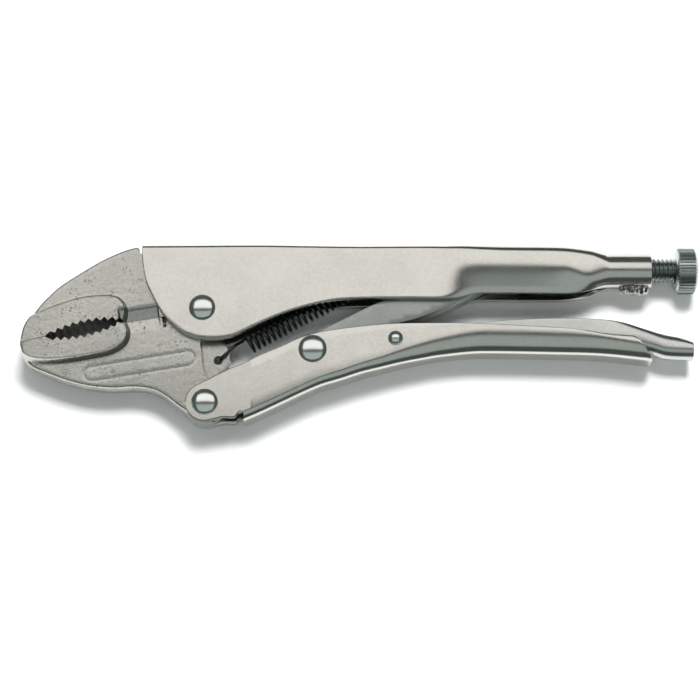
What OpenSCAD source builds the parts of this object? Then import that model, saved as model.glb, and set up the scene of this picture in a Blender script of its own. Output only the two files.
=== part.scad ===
// Locking pliers, 250 mm, curved jaws with wire cutter, lying flat and locked shut.
// X runs along the tool from the jaw tip (-X) to the knob (+X), Y across both handles, Z up.

/* [Overall] */
// Length from the jaw pivot to the jaw tip
jaw_reach = 66.5; // [50:0.5:85]
// Length from the jaw pivot to the end of the knob
rear_reach = 183.5; // [150:0.5:225]
// Width across the top and the lower handle when locked
tool_width = 66.8; // [54:0.2:82]

/* [Sheet and forgings] */
// Thickness of the sheet that both handles are folded from
sheet_t = 2.3; // [1.9:0.1:2.9]
// Thickness of the forged jaws between the handle plates
web_w = 9.2; // [7.6:0.1:11.2]
// Side clearance between a plate and what runs between the plates
side_play = 0.1; // [0.05:0.05:0.3]
// Thickness over the raised gripping pads
pad_w = 15.4; // [12.6:0.2:16]
// Thickness of the thin ear that the spring hooks into
ear_w = 3.4; // [2.4:0.2:4.2]
// Thickness of the toggle link
link_w = 8.6; // [7:0.2:9]
// Gap between the jaws when they are locked
jaw_gap = 0.2; // [0.1:0.1:0.8]

/* [Rivets] */
// Shank diameter of the jaw pivot rivet
jaw_pin_d = 6; // [4.8:0.2:7.4]
// Shank diameter of the rivet that joins the lower jaw to the lower handle
handle_pin_d = 6; // [4.8:0.2:7.4]
// Shank diameter of the rivet that joins the toggle link to the lower handle
link_pin_d = 6.4; // [5:0.2:7.8]
// Shank diameter of the release lever's rivet
lever_pin_d = 3.4; // [2.8:0.2:4.2]
// Head diameter over shank diameter of a rivet
head_ratio = 1.62; // [1.4:0.02:1.8]
// Height of a rivet head above the plate
head_rise = 1.7; // [1.4:0.1:2.2]
// Radial clearance of a pin in its hole
pin_play = 0.05; // [0.02:0.01:0.1]

/* [Adjusting screw] */
// Thread diameter of the adjusting screw
screw_d = 9.6; // [8:0.2:10]
// Thread pitch of the adjusting screw
screw_pitch = 1.6; // [1.4:0.1:2]
// Diameter of the knurled knob
knob_d = 17.2; // [14.4:0.2:17.4]
// Length of the knurled knob
knob_len = 8.3; // [6.8:0.1:10]
// Thread showing between the tube and the knob
thread_shown = 8.9; // [7.4:0.1:10.8]
// Length of the tube that the screw runs in
tube_len = 15.4; // [12.8:0.2:18.6]
// Outer diameter of the tube
tube_d = 13.4; // [12.6:0.2:15]
// Ridges around the knob
knurl_count = 40; // [32:2:48]

/* [Spring] */
// Outer diameter of the spring coil
spring_d = 7.2; // [6:0.1:7.8]
// Wire diameter of the spring
wire_d = 1.1; // [0.9:0.1:1.3]
// Turns of the spring coil
spring_turns = 19; // [16:1:22]

/* [Jaw teeth] */
// Pitch of the jaw teeth
tooth_pitch = 2.95; // [2.5:0.05:3.5]
// Depth of the jaw teeth
tooth_depth = 1.3; // [1:0.1:1.5]
// Teeth in each jaw
tooth_count = 9; // [7:1:9]

/* [Hidden] */
$fn = 64;
eps = 0.01;

// Stretch factors of the drawn outlines, which are drawn for a reach of 66.5 and 183.5
stretch_front = jaw_reach / 66.5;
stretch_rear = rear_reach / 183.5;
stretch_y = tool_width / 66.8;
// Drawn y of the middle between the lowest and the highest point
drawn_middle = 0.4;
// X of the jaw pivot, so that the tool is centred on the origin
pivot_x = (jaw_reach - rear_reach) / 2;
// A drawn x is measured from the jaw pivot, a drawn y from the middle of the tool
function along(x) = pivot_x + x * (x < 0 ? stretch_front : stretch_rear);
function across(y) = (y - drawn_middle) * stretch_y;
function place(p) = [along(p[0]), across(p[1])];
function placed(list) = [for (p = list) place(p)];

// Pivots of the linkage
jaw_pin = place([0, 9.6]);
handle_pin = place([1.5, -26.1]);
link_pin = place([40.7, -6.1]);
lever_pin = place([71.1, -2.1]);
spring_hole = place([5.9, -9.2]);
spring_end = place([63, 22.6]);

// Levels across the sheet stack, measured from the mid-plane
inner_half = web_w / 2 + side_play;
outer_half = inner_half + sheet_t;
mid_z = outer_half + head_rise;
ear_half = ear_w / 2;

// Stations of the adjusting screw
screw_y = across(25.6);
tail_x = pivot_x + rear_reach;
knob_x = tail_x - knob_len;
tube_end_x = knob_x - thread_shown;
tube_x = tube_end_x - tube_len;
screw_tip_x = along(122.5);
thread_play = 0.1;
screw_bore = screw_d + 2 * thread_play;
neck_wall = (tube_d - screw_bore) / 2 - 0.2;
tube_stock = (tube_d - screw_bore) / 2 + 0.3;

// Weights of a Catmull-Rom curve through b and c, with a and d as their neighbours
function blend(a, b, c, d, t) = 0.5 * (2 * b + (c - a) * t
    + (2 * a - 5 * b + 4 * c - d) * t * t + (3 * b - a - 3 * c + d) * t * t * t);
function clamped(list, i) = list[max(0, min(len(list) - 1, i))];
// A smooth open curve through the points of a list
function curve(list, steps = 4) = [
    for (i = [0 : len(list) - 2], s = [0 : steps - 1])
        blend(clamped(list, i - 1), list[i], list[i + 1], clamped(list, i + 2), s / steps),
    list[len(list) - 1]];
// Index of the station that x lies behind
function span_at(list, x) = max([for (i = [0 : len(list) - 2]) if (x >= list[i][0] || i == 0) i]);
// The slope is level at a plateau or a peak, so a curve never overshoots its stations
function slope(list, i) = let (a = clamped(list, i - 1), b = clamped(list, i + 1), v = list[i][1])
    (b[1] - v) * (v - a[1]) <= 0 ? 0 : (b[1] - a[1]) / max(b[0] - a[0], eps);
// A cubic from a to b with slopes ma and mb over a width h
function hermite(a, b, ma, mb, h, t) =
    a * (2 * pow(t, 3) - 3 * t * t + 1) + ma * h * (pow(t, 3) - 2 * t * t + t)
    + b * (3 * t * t - 2 * pow(t, 3)) + mb * h * (pow(t, 3) - t * t);
// Value at x of a smooth curve through stations [x, value] in rising x
function value_at(list, x) = let (i = span_at(list, x), h = list[i + 1][0] - list[i][0],
    t = max(0, min(1, (x - list[i][0]) / h)))
    hermite(list[i][1], list[i + 1][1], slope(list, i), slope(list, i + 1), h, t);
// An arc of a circle from one angle to another
function arc(c, r, from, to, n = 16) =
    [for (i = [0 : n]) let (a = from + (to - from) * i / n) [c[0] + r * cos(a), c[1] + r * sin(a)]];

// Half of a folded section: the top from its middle, the fold, and the side down to the rim.
// w: half-width at the fold, r: fold radius, rim: half-width at the rim, belly: how far the
// side's control point stands out, low: how far down that control point is, from 0 to 1
fold_steps = 5;
side_steps = 6;
function bezier(a, b, c, t) = (1 - t) * (1 - t) * a + 2 * t * (1 - t) * b + t * t * c;
function half_section(top, bottom, w, r, rim, belly, low) = concat(
    [[0, top]],
    [for (i = [0 : fold_steps]) let (a = 90 - 90 * i / fold_steps)
        [w - r + r * cos(a), top - r + r * sin(a)]],
    [for (i = [1 : side_steps])
        bezier([w, top - r], [w + belly, top - r + (bottom - top + r) * low], [rim, bottom], i / side_steps)]);
// The same half moved inwards by the sheet thickness t
function inner_half_section(top, bottom, w, r, rim, belly, low, t) = let (
    ri = max(r - t, 0.4),
    p0 = [w, top - r], p1 = [w + belly, top - r + (bottom - top + r) * low], p2 = [rim, bottom],
    d = (p2 - p1) / norm(p2 - p1), e = (p1 - p0) / norm(p1 - p0),
    n0 = [e[1], -e[0]] * -1, n2 = [d[1], -d[0]] * -1,
    q0 = [w - t, top - t - ri], q2 = p2 - t * n2, q1 = p1 - t * (n0 + n2) / (1 + n0 * n2)) concat(
    [[0, top - t]],
    [for (i = [0 : fold_steps]) let (a = 90 - 90 * i / fold_steps)
        [w - t - ri + ri * cos(a), top - t - ri + ri * sin(a)]],
    [for (i = [1 : side_steps]) bezier(q0, q1, q2, i / side_steps)]);
function mirrored(list) = [for (i = [len(list) - 1 : -1 : 1]) [-list[i][0], list[i][1]]];
function reversed(list) = [for (i = [len(list) - 1 : -1 : 0]) list[i]];
// A closed ring of [z, y] points around the whole sheet section
function channel_ring(s) = let (
    outer = half_section(s[0], s[1], s[2], s[3], s[4], s[5], s[6]),
    inner = inner_half_section(s[0], s[1], s[2], s[3], s[4], s[5], s[6], s[7]))
    concat(mirrored(outer), outer, reversed(inner), reversed(mirrored(inner)));
// Skin over rings that all have the same number of points
module skin(rings) {
    n = len(rings[0]);
    m = len(rings);
    points = [for (r = rings) each r];
    sides = [for (k = [0 : m - 2], i = [0 : n - 1]) let (j = (i + 1) % n)
        each [[k * n + i, (k + 1) * n + i, (k + 1) * n + j], [k * n + i, (k + 1) * n + j, k * n + j]]];
    // Each end is a strip between the outer and the inner path of the section
    strip = [for (i = [0 : n / 2 - 2]) [i, i + 1, n - 2 - i, n - 1 - i]];
    first = [for (q = strip) each [[q[0], q[1], q[2]], [q[0], q[2], q[3]]]];
    last = [for (f = first) [f[0] + (m - 1) * n, f[2] + (m - 1) * n, f[1] + (m - 1) * n]];
    polyhedron(points = points, faces = concat(sides, first, last), convexity = 8);
}
// Sheet channel: flip is 1 where the section opens towards -Y and -1 where it opens towards +Y
module channel(stations, sections, flip = 1) {
    skin([for (x = stations) let (s = [for (part = sections) value_at(part, x)])
        [for (p = channel_ring([flip * s[0], flip * s[1], s[2], s[3], s[4], s[5], s[6], s[7]]))
            [x, flip * p[1], p[0] * flip]]]);
}
function stationed(list) = [for (p = list) [along(p[0]), p[1]]];

// Prism through the whole thickness
module slab(outline, half) {
    translate([0, 0, -half]) linear_extrude(2 * half) polygon(outline);
}
module bore(pin, d) {
    translate([pin[0], pin[1], -mid_z]) cylinder(h = 2 * mid_z, d = d + 2 * pin_play);
}

// Upper handle: a plate channel in front, a rounded grip behind and a rolled tube at the end
tube_r = tube_d / 2;
tube_top = screw_y + tube_r;
tube_low = screw_y - tube_r;
// The neck runs from the grip into the tube, with its stations measured back from the tube
neck_len = 18;
function necked(list) = [for (p = list) [tube_x + p[0], p[1]]];
upper_top = concat(
    placed([[-22.7, 34.0], [0, 34.1], [18, 34.2], [40, 33.9], [58, 33.7], [80, 33.9], [110, 34.0]]),
    necked([[-neck_len, across(33.8)], [-8, across(33.2)], [-3, tube_top + 0.2], [0, tube_top],
        [tube_len, tube_top]]));
upper_rim = concat(placed([[-22.6, 28.7], [-22.1, 25.3], [-21, 20.3], [-19.5, 16.5], [-18, 13.1],
    [-16.5, 10.5], [-15, 8.2], [-13.2, 5.5], [-11, 2.9], [-8, 0.6], [-4.3, -1.3], [-0.6, -2.3], [4.2, -2.5],
    [8.7, -2.1], [12.4, -0.9], [17.9, 1.9], [23.9, 4.8], [30.2, 7.5], [36.5, 9.6], [43.9, 11.5], [51.3, 12.7],
    [62.4, 13.1], [73.5, 13.2], [88.3, 13.1], [93.9, 13.4], [99.4, 14.8], [103.1, 15.3]]),
    necked([[-neck_len, across(15.2)], [-12.8, across(15.6)], [-8, across(16.6)], [-4, tube_low - 0.8],
        [0, tube_low], [tube_len, tube_low]]));
grip_half = outer_half + 0.7;
upper_width = concat(stationed([[-22.6, outer_half], [88, outer_half], [98, grip_half]]),
    necked([[-neck_len + 1, grip_half], [-8, tube_r + 0.4], [0, tube_r], [tube_len, tube_r]]));
upper_fold = concat(stationed([[-22.6, 1.6], [84, 1.8], [110, 2.4]]),
    necked([[-neck_len + 1, 2.8], [-7, 3.2], [0, tube_r - 0.1], [tube_len, tube_r - 0.1]]));
seam_half = 0.6;
upper_rim_half = concat(stationed([[-22.6, outer_half], [92, outer_half], [104, 6.85], [124, 6.8]]),
    necked([[-neck_len + 1, 6.2], [-8, 4.4], [0, seam_half], [tube_len, seam_half]]));
upper_belly = concat(stationed([[-22.6, 0], [98, 0]]), necked([[0, 0], [tube_len, 0]]));
upper_low = concat(stationed([[-22.6, 0.6], [98, 0.6]]),
    necked([[-neck_len + 1, 0.6], [-8, 0.9], [0, 1], [tube_len, 1]]));
// The tube's wall is drawn thick, and the screw's bore then cuts it to its true radius
upper_sheet = concat(stationed([[-22.6, sheet_t], [110, sheet_t]]),
    necked([[-neck_len + 3, neck_wall], [1, neck_wall], [3, tube_stock], [tube_len, tube_stock]]));
upper_stations = concat(
    [for (x = [-22.6, -22.1, -21, -19.5, -18, -16.5, -15, -13.2, -11, -8, -4.3, -0.6]) along(x)],
    [for (x = [4.2 : 4.6 : 87]) along(x)], [for (x = [90 : 3 : 129]) along(x)],
    [for (x = [-neck_len : 2.25 : 0]) tube_x + x], [for (x = [1, 3, tube_len]) tube_x + x]);

module upper_handle() {
    color("silver") translate([0, 0, mid_z]) difference() {
        union() {
            channel(upper_stations, [upper_top, upper_rim, upper_width, upper_fold, upper_rim_half,
                upper_belly, upper_low, upper_sheet]);
            weld_bead();
        }
        translate([tube_x + 2, screw_y, 0]) rotate([0, 90, 0]) cylinder(h = tube_len, d = screw_bore);
        bore(jaw_pin, jaw_pin_d);
    }
}
// Weld bead that closes the seam under the tube
module weld_bead() {
    bead_r = 1.7;
    bead_len = tube_len - 6;
    translate([tube_end_x - bead_len - bead_r, tube_low, 0]) {
        rotate([0, 90, 0]) cylinder(h = bead_len, r = bead_r);
        sphere(r = bead_r);
    }
}

// Jaw teeth run along an arc, drawn like the outlines so that they keep to the mouth.
// Each step is half a pitch, and every second point is a root
function tooth_row(c, r, from, side) = [for (i = [0 : 2 * tooth_count])
    let (a = from + side * (i * tooth_pitch / 2) / r * 180 / PI,
        rr = r - (i % 2 == 0 ? 0 : tooth_depth))
    [c[0] + rr * cos(a), c[1] + rr * sin(a)]];
mouth_top_r = 46.3;
mouth_low_r = 44.3;
upper_teeth = placed(tooth_row([-33.5, -40.4], mouth_top_r, 118.5, -1));
lower_teeth = placed(tooth_row([-52.5, 41.1], mouth_low_r, -92.5, 1));

// Upper jaw: a forging held between the plates of the upper handle
lobe_r = 9 * stretch_y;
lobe_play = 0.3;
upper_jaw_top = curve(placed([[-63.5, 6.3], [-59.8, 11.7], [-56.1, 15.7], [-52.4, 19.1], [-45, 24.1],
    [-37.6, 28.7], [-30.2, 32.2], [-25, 33.9]]));
tongue_top = across(34) - sheet_t - 0.1;
tip_seam = placed([[-66.5, -4], [-57.4, -1.7]]);
cutter_seam = placed([[-29, 4.3], [-9.6, 7.3]]);
upper_jaw_outline = concat(
    [tip_seam[0] + [0, jaw_gap]], [place([-66.3, 0])], upper_jaw_top,
    [place([-23.4, 31]), [along(-22), tongue_top], [along(13), tongue_top], place([13, 17])],
    arc(jaw_pin, lobe_r + lobe_play, 40, 188),
    [cutter_seam[1] + [0, jaw_gap], cutter_seam[0] + [0, jaw_gap]],
    reversed(upper_teeth), [tip_seam[1] + [0, jaw_gap]]);
upper_pad_outline = concat(
    [tip_seam[0] + [0, jaw_gap]],
    curve(placed([[-66.5, -0.8], [-65.8, 2.1], [-63.9, 5.2], [-59.8, 7.3], [-52.4, 10.4], [-45, 12.7],
        [-37.6, 13.6], [-32.4, 13.2], [-29.3, 10.5], [-28.6, 8.2], [-29.6, 5]])),
    reversed(upper_teeth), [tip_seam[1] + [0, jaw_gap]]);

module upper_jaw() {
    color("gainsboro") translate([0, 0, mid_z]) difference() {
        union() {
            slab(upper_jaw_outline, web_w / 2 + side_play - eps);
            slab(upper_pad_outline, pad_w / 2);
        }
        cutter_bevels(1);
    }
}
// Ground bevels on both faces that leave a cutting edge behind the pads
cutter_depth = 3.2;
cutter_rise = 3;
module cutter_bevels(side) {
    a = atan2(cutter_seam[1][1] - cutter_seam[0][1], cutter_seam[1][0] - cutter_seam[0][0]);
    for (face = [-1, 1])
        translate([along(-28), across(4.3) + side * 0.1, 0]) rotate([0, 0, a])
            rotate([0, 90, 0]) linear_extrude(along(-16) - along(-28))
                polygon([[face * (web_w / 2 + 1), -side], [face * (web_w / 2 + 1), side * cutter_rise],
                    [face * (web_w / 2 - 0.4), side * cutter_rise],
                    [face * (web_w / 2 - cutter_depth), side * 0.6],
                    [face * (web_w / 2 - cutter_depth), -side]]);
}

// Lower jaw: a forging with the lower pad, the two pivots and the thin ear for the spring
lower_jaw_bottom = curve(placed([[-66.2, -6.5], [-65, -9.3], [-62.4, -12.2], [-56.1, -15], [-48.7, -17.7],
    [-41.3, -19.5], [-33, -20.3], [-22.8, -20], [-15.4, -21.9], [-8, -27.2], [-5.4, -28.9]]));
handle_lobe_r = 7.3;
lower_jaw_outline = concat(
    [tip_seam[0]], lower_jaw_bottom,
    arc(handle_pin, handle_lobe_r, 215, 380),
    [place([4, -19])],
    curve(placed([[1.8, -16], [0.4, -12], [-0.2, -7], [-0.4, -2.2]])),
    [place([4, 1.4])],
    arc(jaw_pin, lobe_r, -50, 194),
    [cutter_seam[1], cutter_seam[0]], reversed(lower_teeth), [tip_seam[1]]);
ear_outline = concat([place([-2, 0]), place([4.5, 0])],
    curve(placed([[8, -1.4], [9.6, -5], [10.5, -9], [9.8, -12.3], [7, -15.5], [3, -18.5]])),
    [place([-2, -18.5])]);
lower_pad_outline = concat(
    [tip_seam[0]],
    curve(placed([[-66.5, -5.2], [-65.8, -6.9], [-62.4, -9.2], [-56.1, -10], [-48.7, -9.4], [-41.3, -8.2],
        [-33.9, -6.5], [-29.1, -3.6], [-27.8, 0.2], [-29, 3.4], [-30.4, 3.9]])),
    reversed(lower_teeth), [tip_seam[1]]);
module lower_jaw() {
    color("gainsboro") translate([0, 0, mid_z]) difference() {
        union() {
            slab(lower_jaw_outline, web_w / 2);
            slab(lower_pad_outline, pad_w / 2);
            slab(ear_outline, ear_half);
        }
        cutter_bevels(-1);
        bore(jaw_pin, jaw_pin_d);
        bore(handle_pin, handle_pin_d);
        bore(spring_hole, ear_hole_d);
    }
}

// Lower handle: plates in front, a folded channel behind and a half-round trough at the end
lower_top = placed([[-9, -8], [8, -8], [10.2, -13.6], [14.2, -12.1], [21.6, -8.4], [29.1, -5.2], [36.5, -1.7],
    [43.9, 0.4], [55, 2.1], [69.8, 3.5], [88.3, 3.8], [103.1, 3.3], [118, 2.5], [136.5, 1.5], [147.6, 0.5],
    [155, -0.4], [166.5, -1.3]]);
lower_bottom = placed([[-9, -38], [15.4, -36.5], [15.7, -32.8], [21.6, -30.2], [29.1, -26.6], [36.5, -23],
    [43.9, -19.7], [51.3, -17.4], [58.7, -14.9], [66.1, -13], [73.5, -11.1], [80.9, -9.6], [88.3, -8.3],
    [103.1, -7.1], [129, -7.5], [147.6, -8.1], [166.5, -10.2]]);
trough_half = outer_half + 0.9;
lower_width = stationed([[-9, outer_half], [86, outer_half], [104, trough_half], [166.5, trough_half]]);
lower_fold = stationed([[-9, 3.2], [80, 3.4], [104, 6.2], [166.5, 6.2]]);
lower_rim_half = stationed([[-9, outer_half], [86, outer_half], [104, trough_half], [166.5, trough_half - 0.3]]);
lower_flat = stationed([[-9, 0], [166.5, 0]]);
lower_low = stationed([[-9, 0.5], [166.5, 0.5]]);
lower_sheet = stationed([[-9, sheet_t], [166.5, sheet_t]]);
lower_stations = concat([for (x = [-9, 10, 15.4, 15.7]) along(x)], [for (x = [19 : 4 : 84]) along(x)],
    [for (x = [87 : 3 : 105]) along(x)], [for (x = [110 : 6 : 160]) along(x)], [along(166.5)]);
front_end = concat([[along(-30), across(-60)], [along(-30), across(0)], [along(8), across(0)]],
    [place([8, -14.7])],
    arc(handle_pin, 7.1 * stretch_y, 117, 270),
    placed([[5.3, -32.6], [8.3, -31.7], [11.6, -32.1], [13, -30.8], [15.9, -32.7], [15.9, -60]]));
rear_end = concat([place([150, 8])], curve(placed([[150, 0.8], [157.9, -0.6], [161.3, -3], [163.4, -6.7],
    [165.7, -10.5]])), [place([166, -14]), place([180, -14]), place([180, 8])]);
module lower_handle() {
    color("silver") translate([0, 0, mid_z]) difference() {
        channel(lower_stations, [lower_bottom, lower_top, lower_width, lower_fold, lower_rim_half,
            lower_flat, lower_low, lower_sheet], -1);
        slab(front_end, mid_z);
        slab(rear_end, mid_z);
        bore(handle_pin, handle_pin_d);
        bore(link_pin, link_pin_d);
        bore(lever_pin, lever_pin_d);
    }
}

// Toggle link: a bar from the lower handle's rivet to the tip of the adjusting screw
link_r = 6.6;
link_end_r = 3.6;
link_end = [along(117.9) - link_end_r, screw_y - 0.6];
link_outline = concat(
    arc(link_pin, link_r, 110, 300),
    curve(placed([[48, -9.4], [56, -4.6], [64, 0.9], [71, 3.9], [79.1, 6.1], [88.3, 9.6], [95.7, 13],
        [104, 17.5], [110, 20.6]])),
    arc(link_end, link_end_r, -60, 100),
    curve(placed([[103, 27], [90, 22.5], [76, 17], [62.4, 11.4], [55, 7.7], [47.6, 3.9], [42, 1]])));
module toggle_link() {
    color("gainsboro") translate([0, 0, mid_z]) difference() {
        slab(link_outline, link_w / 2);
        bore(link_pin, link_pin_d);
    }
}

// Release lever: a folded lever inside the lower handle, rolled into a tube at its tail
lever_half = inner_half - 0.4;
lever_sheet = 1.5;
lever_back = placed([[66.6, 0.6], [71, 2.6], [78.5, 3.3], [90, 3.7], [100.5, 4.5], [113.5, 5.6], [123.5, 6.1],
    [132.8, 6.3], [147.6, 5.9], [155, 4.9], [162.4, 2.7], [169.8, 0.6], [177.2, -0.9], [180.9, -2.2]]);
lever_under = placed([[66.6, -4.8], [71, -6], [80.5, -4.6], [88.5, -3.6], [102.5, -2.9], [113.5, -2.8],
    [128.5, -3.2], [147.6, -3.9], [158, -5.2], [165.5, -6.8], [169.8, -8.2], [173.5, -8.6], [180.9, -8.8]]);
lever_width = stationed([[66.6, lever_half], [120, lever_half], [160, lever_half - 0.1], [180.9, 3.9]]);
lever_fold = stationed([[66.6, 1.6], [90, 1.9], [120, 3], [150, 3.6], [180.9, 3.7]]);
lever_rim = stationed([[66.6, lever_half], [140, lever_half], [160, 3.4], [170, 2.1], [180.9, 1.9]]);
lever_belly = stationed([[66.6, 0], [140, 0], [165, 0.3], [180.9, 0.2]]);
lever_low = stationed([[66.6, 0.5], [140, 0.5], [170, 0.98], [180.9, 0.98]]);
lever_thick = stationed([[66.6, lever_sheet], [180.9, lever_sheet]]);
lever_stations = concat([for (x = [66.6, 68.6, 71]) along(x)], [for (x = [76 : 7 : 140]) along(x)],
    [for (x = [144 : 4 : 178]) along(x)], [along(180.9)]);
module release_lever() {
    color("silver") translate([0, 0, mid_z]) difference() {
        channel(lever_stations, [lever_under, lever_back, lever_width, lever_fold, lever_rim, lever_belly,
            lever_low, lever_thick], -1);
        bore(lever_pin, lever_pin_d);
    }
}

// Adjusting screw: a threaded rod that bears on the end of the toggle link
thread_depth = 0.9;
thread_turns = floor((knob_x - screw_tip_x - 3) / screw_pitch);
// Spigot of the screw inside the knob
spigot_d = 6;
spigot_len = knob_len - 3;
screw_profile = concat(
    [[0, 0], [screw_d / 2 - 1.4, 0], [screw_d / 2 - thread_depth, 0.6]],
    [for (i = [0 : thread_turns - 1], step = [0.15, 0.45, 0.65, 0.95])
        [screw_d / 2 - (step == 0.15 || step == 0.95 ? thread_depth : 0), 1 + (i + step) * screw_pitch]],
    [[screw_d / 2 - thread_depth, knob_x - screw_tip_x - 1],
        [screw_d / 2 - thread_depth, knob_x - screw_tip_x], [spigot_d / 2, knob_x - screw_tip_x],
        [spigot_d / 2, knob_x - screw_tip_x + spigot_len], [0, knob_x - screw_tip_x + spigot_len]]);
module adjusting_screw() {
    color("dimgray") translate([screw_tip_x, screw_y, mid_z]) rotate([0, 90, 0])
        rotate_extrude($fn = 48) polygon(screw_profile);
}
// Knob: a knurled head on the end of the screw
knob_chamfer = 0.8;
knurl_depth = 0.36;
module adjusting_knob() {
    color("gray") translate([knob_x, screw_y, mid_z]) rotate([0, 90, 0]) difference() {
        rotate_extrude($fn = 80) polygon([[0, 0], [knob_d / 2 - knob_chamfer, 0], [knob_d / 2, knob_chamfer],
            [knob_d / 2, knob_len - knob_chamfer], [knob_d / 2 - knob_chamfer, knob_len], [0, knob_len]]);
        translate([0, 0, -1]) cylinder(h = spigot_len + 1.1, d = spigot_d + 2 * pin_play);
        for (i = [0 : knurl_count - 1]) rotate([0, 0, i * 360 / knurl_count])
            translate([knob_d / 2 + 0.1, 0, -1]) rotate([0, 0, 45])
                translate([-knurl_depth, -knurl_depth, 0])
                    cube([2 * knurl_depth, 2 * knurl_depth, knob_len + 2]);
    }
}

// Spring: a coil with a hook at each end, swept as one wire
spring_axis = spring_end - spring_hole;
spring_len = norm(spring_axis);
spring_angle = atan2(spring_axis[1], spring_axis[0]);
coil_r = (spring_d - wire_d) / 2;
coil_start = 12.5;
coil_end = spring_len - 11;
ear_hole_d = 3.4;
anchor_hole_d = 2.6;
coil_path = [for (i = [0 : spring_turns * 12]) let (a = i * 30)
    [coil_start + (coil_end - coil_start) * i / (spring_turns * 12), coil_r * cos(a), coil_r * sin(a)]];
// Each hook drops through its hole and bears on the side of the hole that faces the coil
ear_seat = ear_hole_d / 2 - wire_d / 2 - 0.1;
anchor_seat = spring_len - (anchor_hole_d / 2 - wire_d / 2 - 0.1);
wire_path = concat(
    [[ear_seat + 2.6, 0, -3.2], [ear_seat + 0.9, 0, -3], [ear_seat + 0.1, 0, -2.2], [ear_seat, 0, 0],
        [ear_seat + 0.1, 0, 2.2], [ear_seat + 0.9, 0.1, 3.1], [ear_seat + 3, 0.5, 3.4],
        [ear_seat + 7, 1.6, 2.8]],
    coil_path,
    [[coil_end + 3, 1.8, 2.6], [anchor_seat - 3, 0.6, 2.6], [anchor_seat - 0.9, 0, 2.3],
        [anchor_seat - 0.1, 0, 1.6], [anchor_seat, 0, 0], [anchor_seat - 0.1, 0, -1.6],
        [anchor_seat - 0.9, 0, -2.3], [anchor_seat - 2.4, 0, -2.5]]);
wire_sides = 6;
function unit(v) = v / norm(v);
function tangent(path, i) = unit(path[min(i + 1, len(path) - 1)] - path[max(i - 1, 0)]);
// Frame carried along the wire: the second axis stays close to the last one
function carried(path, i, up) = let (t = tangent(path, i), u = up - (up * t) * t) unit(u);
function frames(path, i, up) = i >= len(path) ? [] : let (u = carried(path, i, up))
    concat([[path[i], u, cross(tangent(path, i), u)]], frames(path, i + 1, u));
module wire(path, d) {
    list = frames(path, 0, [0.1, 1, 0.2]);
    n = wire_sides;
    m = len(list);
    points = [for (f = list, k = [0 : n - 1]) let (a = k * 360 / n)
        f[0] + d / 2 * (cos(a) * f[1] + sin(a) * f[2])];
    sides = [for (i = [0 : m - 2], k = [0 : n - 1]) let (j = (k + 1) % n)
        [i * n + k, (i + 1) * n + k, (i + 1) * n + j, i * n + j]];
    polyhedron(points = points, faces = concat([[for (k = [0 : n - 1]) k]], sides,
        [[for (k = [n - 1 : -1 : 0]) (m - 1) * n + k]]), convexity = 20);
}
module jaw_spring() {
    color("dimgray") translate([spring_hole[0], spring_hole[1], mid_z]) rotate([0, 0, spring_angle])
        wire(wire_path, wire_d);
}
// Lug welded under the top wall of the upper handle, which holds the spring's rear hook
anchor_half = 0.9;
module spring_anchor() {
    top = value_at(upper_top, spring_end[0]) - sheet_t;
    color("silver") translate([0, 0, mid_z]) difference() {
        slab([spring_end + [-2.6, -3], spring_end + [2.6, -3], spring_end + [3.4, 0],
            [spring_end[0] + 5, top], [spring_end[0] - 5, top], spring_end + [-3.4, 0]], anchor_half);
        bore(spring_end, anchor_hole_d);
    }
}

// Rivets: a factory head above and a formed head with a small flat below
module rivet(pin, d) {
    head_r = d * head_ratio / 2;
    flat_r = head_r * 0.45;
    sphere_r = (head_r * head_r + head_rise * head_rise) / (2 * head_rise);
    color("lightgray") translate([pin[0], pin[1], mid_z]) rotate_extrude($fn = 64) polygon(concat(
        [[0, -outer_half - head_rise], [flat_r, -outer_half - head_rise]],
        [for (i = [1 : 5]) let (a = 90 * i / 5)
            [flat_r + (head_r - flat_r) * sin(a), -outer_half - head_rise * cos(a)]],
        [[d / 2, -outer_half], [d / 2, outer_half], [head_r, outer_half]],
        [for (i = [1 : 6]) let (r = head_r * (1 - i / 6))
            [r, outer_half + head_rise - sphere_r + sqrt(sphere_r * sphere_r - r * r)]]));
}
module jaw_pivot_rivet() {
    rivet(jaw_pin, jaw_pin_d);
}
module handle_pivot_rivet() {
    rivet(handle_pin, handle_pin_d);
}
module link_pivot_rivet() {
    rivet(link_pin, link_pin_d);
}
module lever_pivot_rivet() {
    rivet(lever_pin, lever_pin_d);
}

upper_handle();
upper_jaw();
lower_jaw();
lower_handle();
toggle_link();
release_lever();
adjusting_screw();
adjusting_knob();
jaw_spring();
spring_anchor();
jaw_pivot_rivet();
handle_pivot_rivet();
link_pivot_rivet();
lever_pivot_rivet();
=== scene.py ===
# %% [markdown]
# # A pair of locking pliers
# The tool lies flat and locked shut. Its frame comes from the CAD model: the pivots, the screw and the knob
# are already in place, in metres. This script gives every piece its finished shape and its metal.
# Nothing here is moved: a piece is made where the frame says that it is.

# %% Load the frame
import math

import bmesh
import bpy
import numpy as np
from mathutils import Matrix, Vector, geometry


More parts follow.
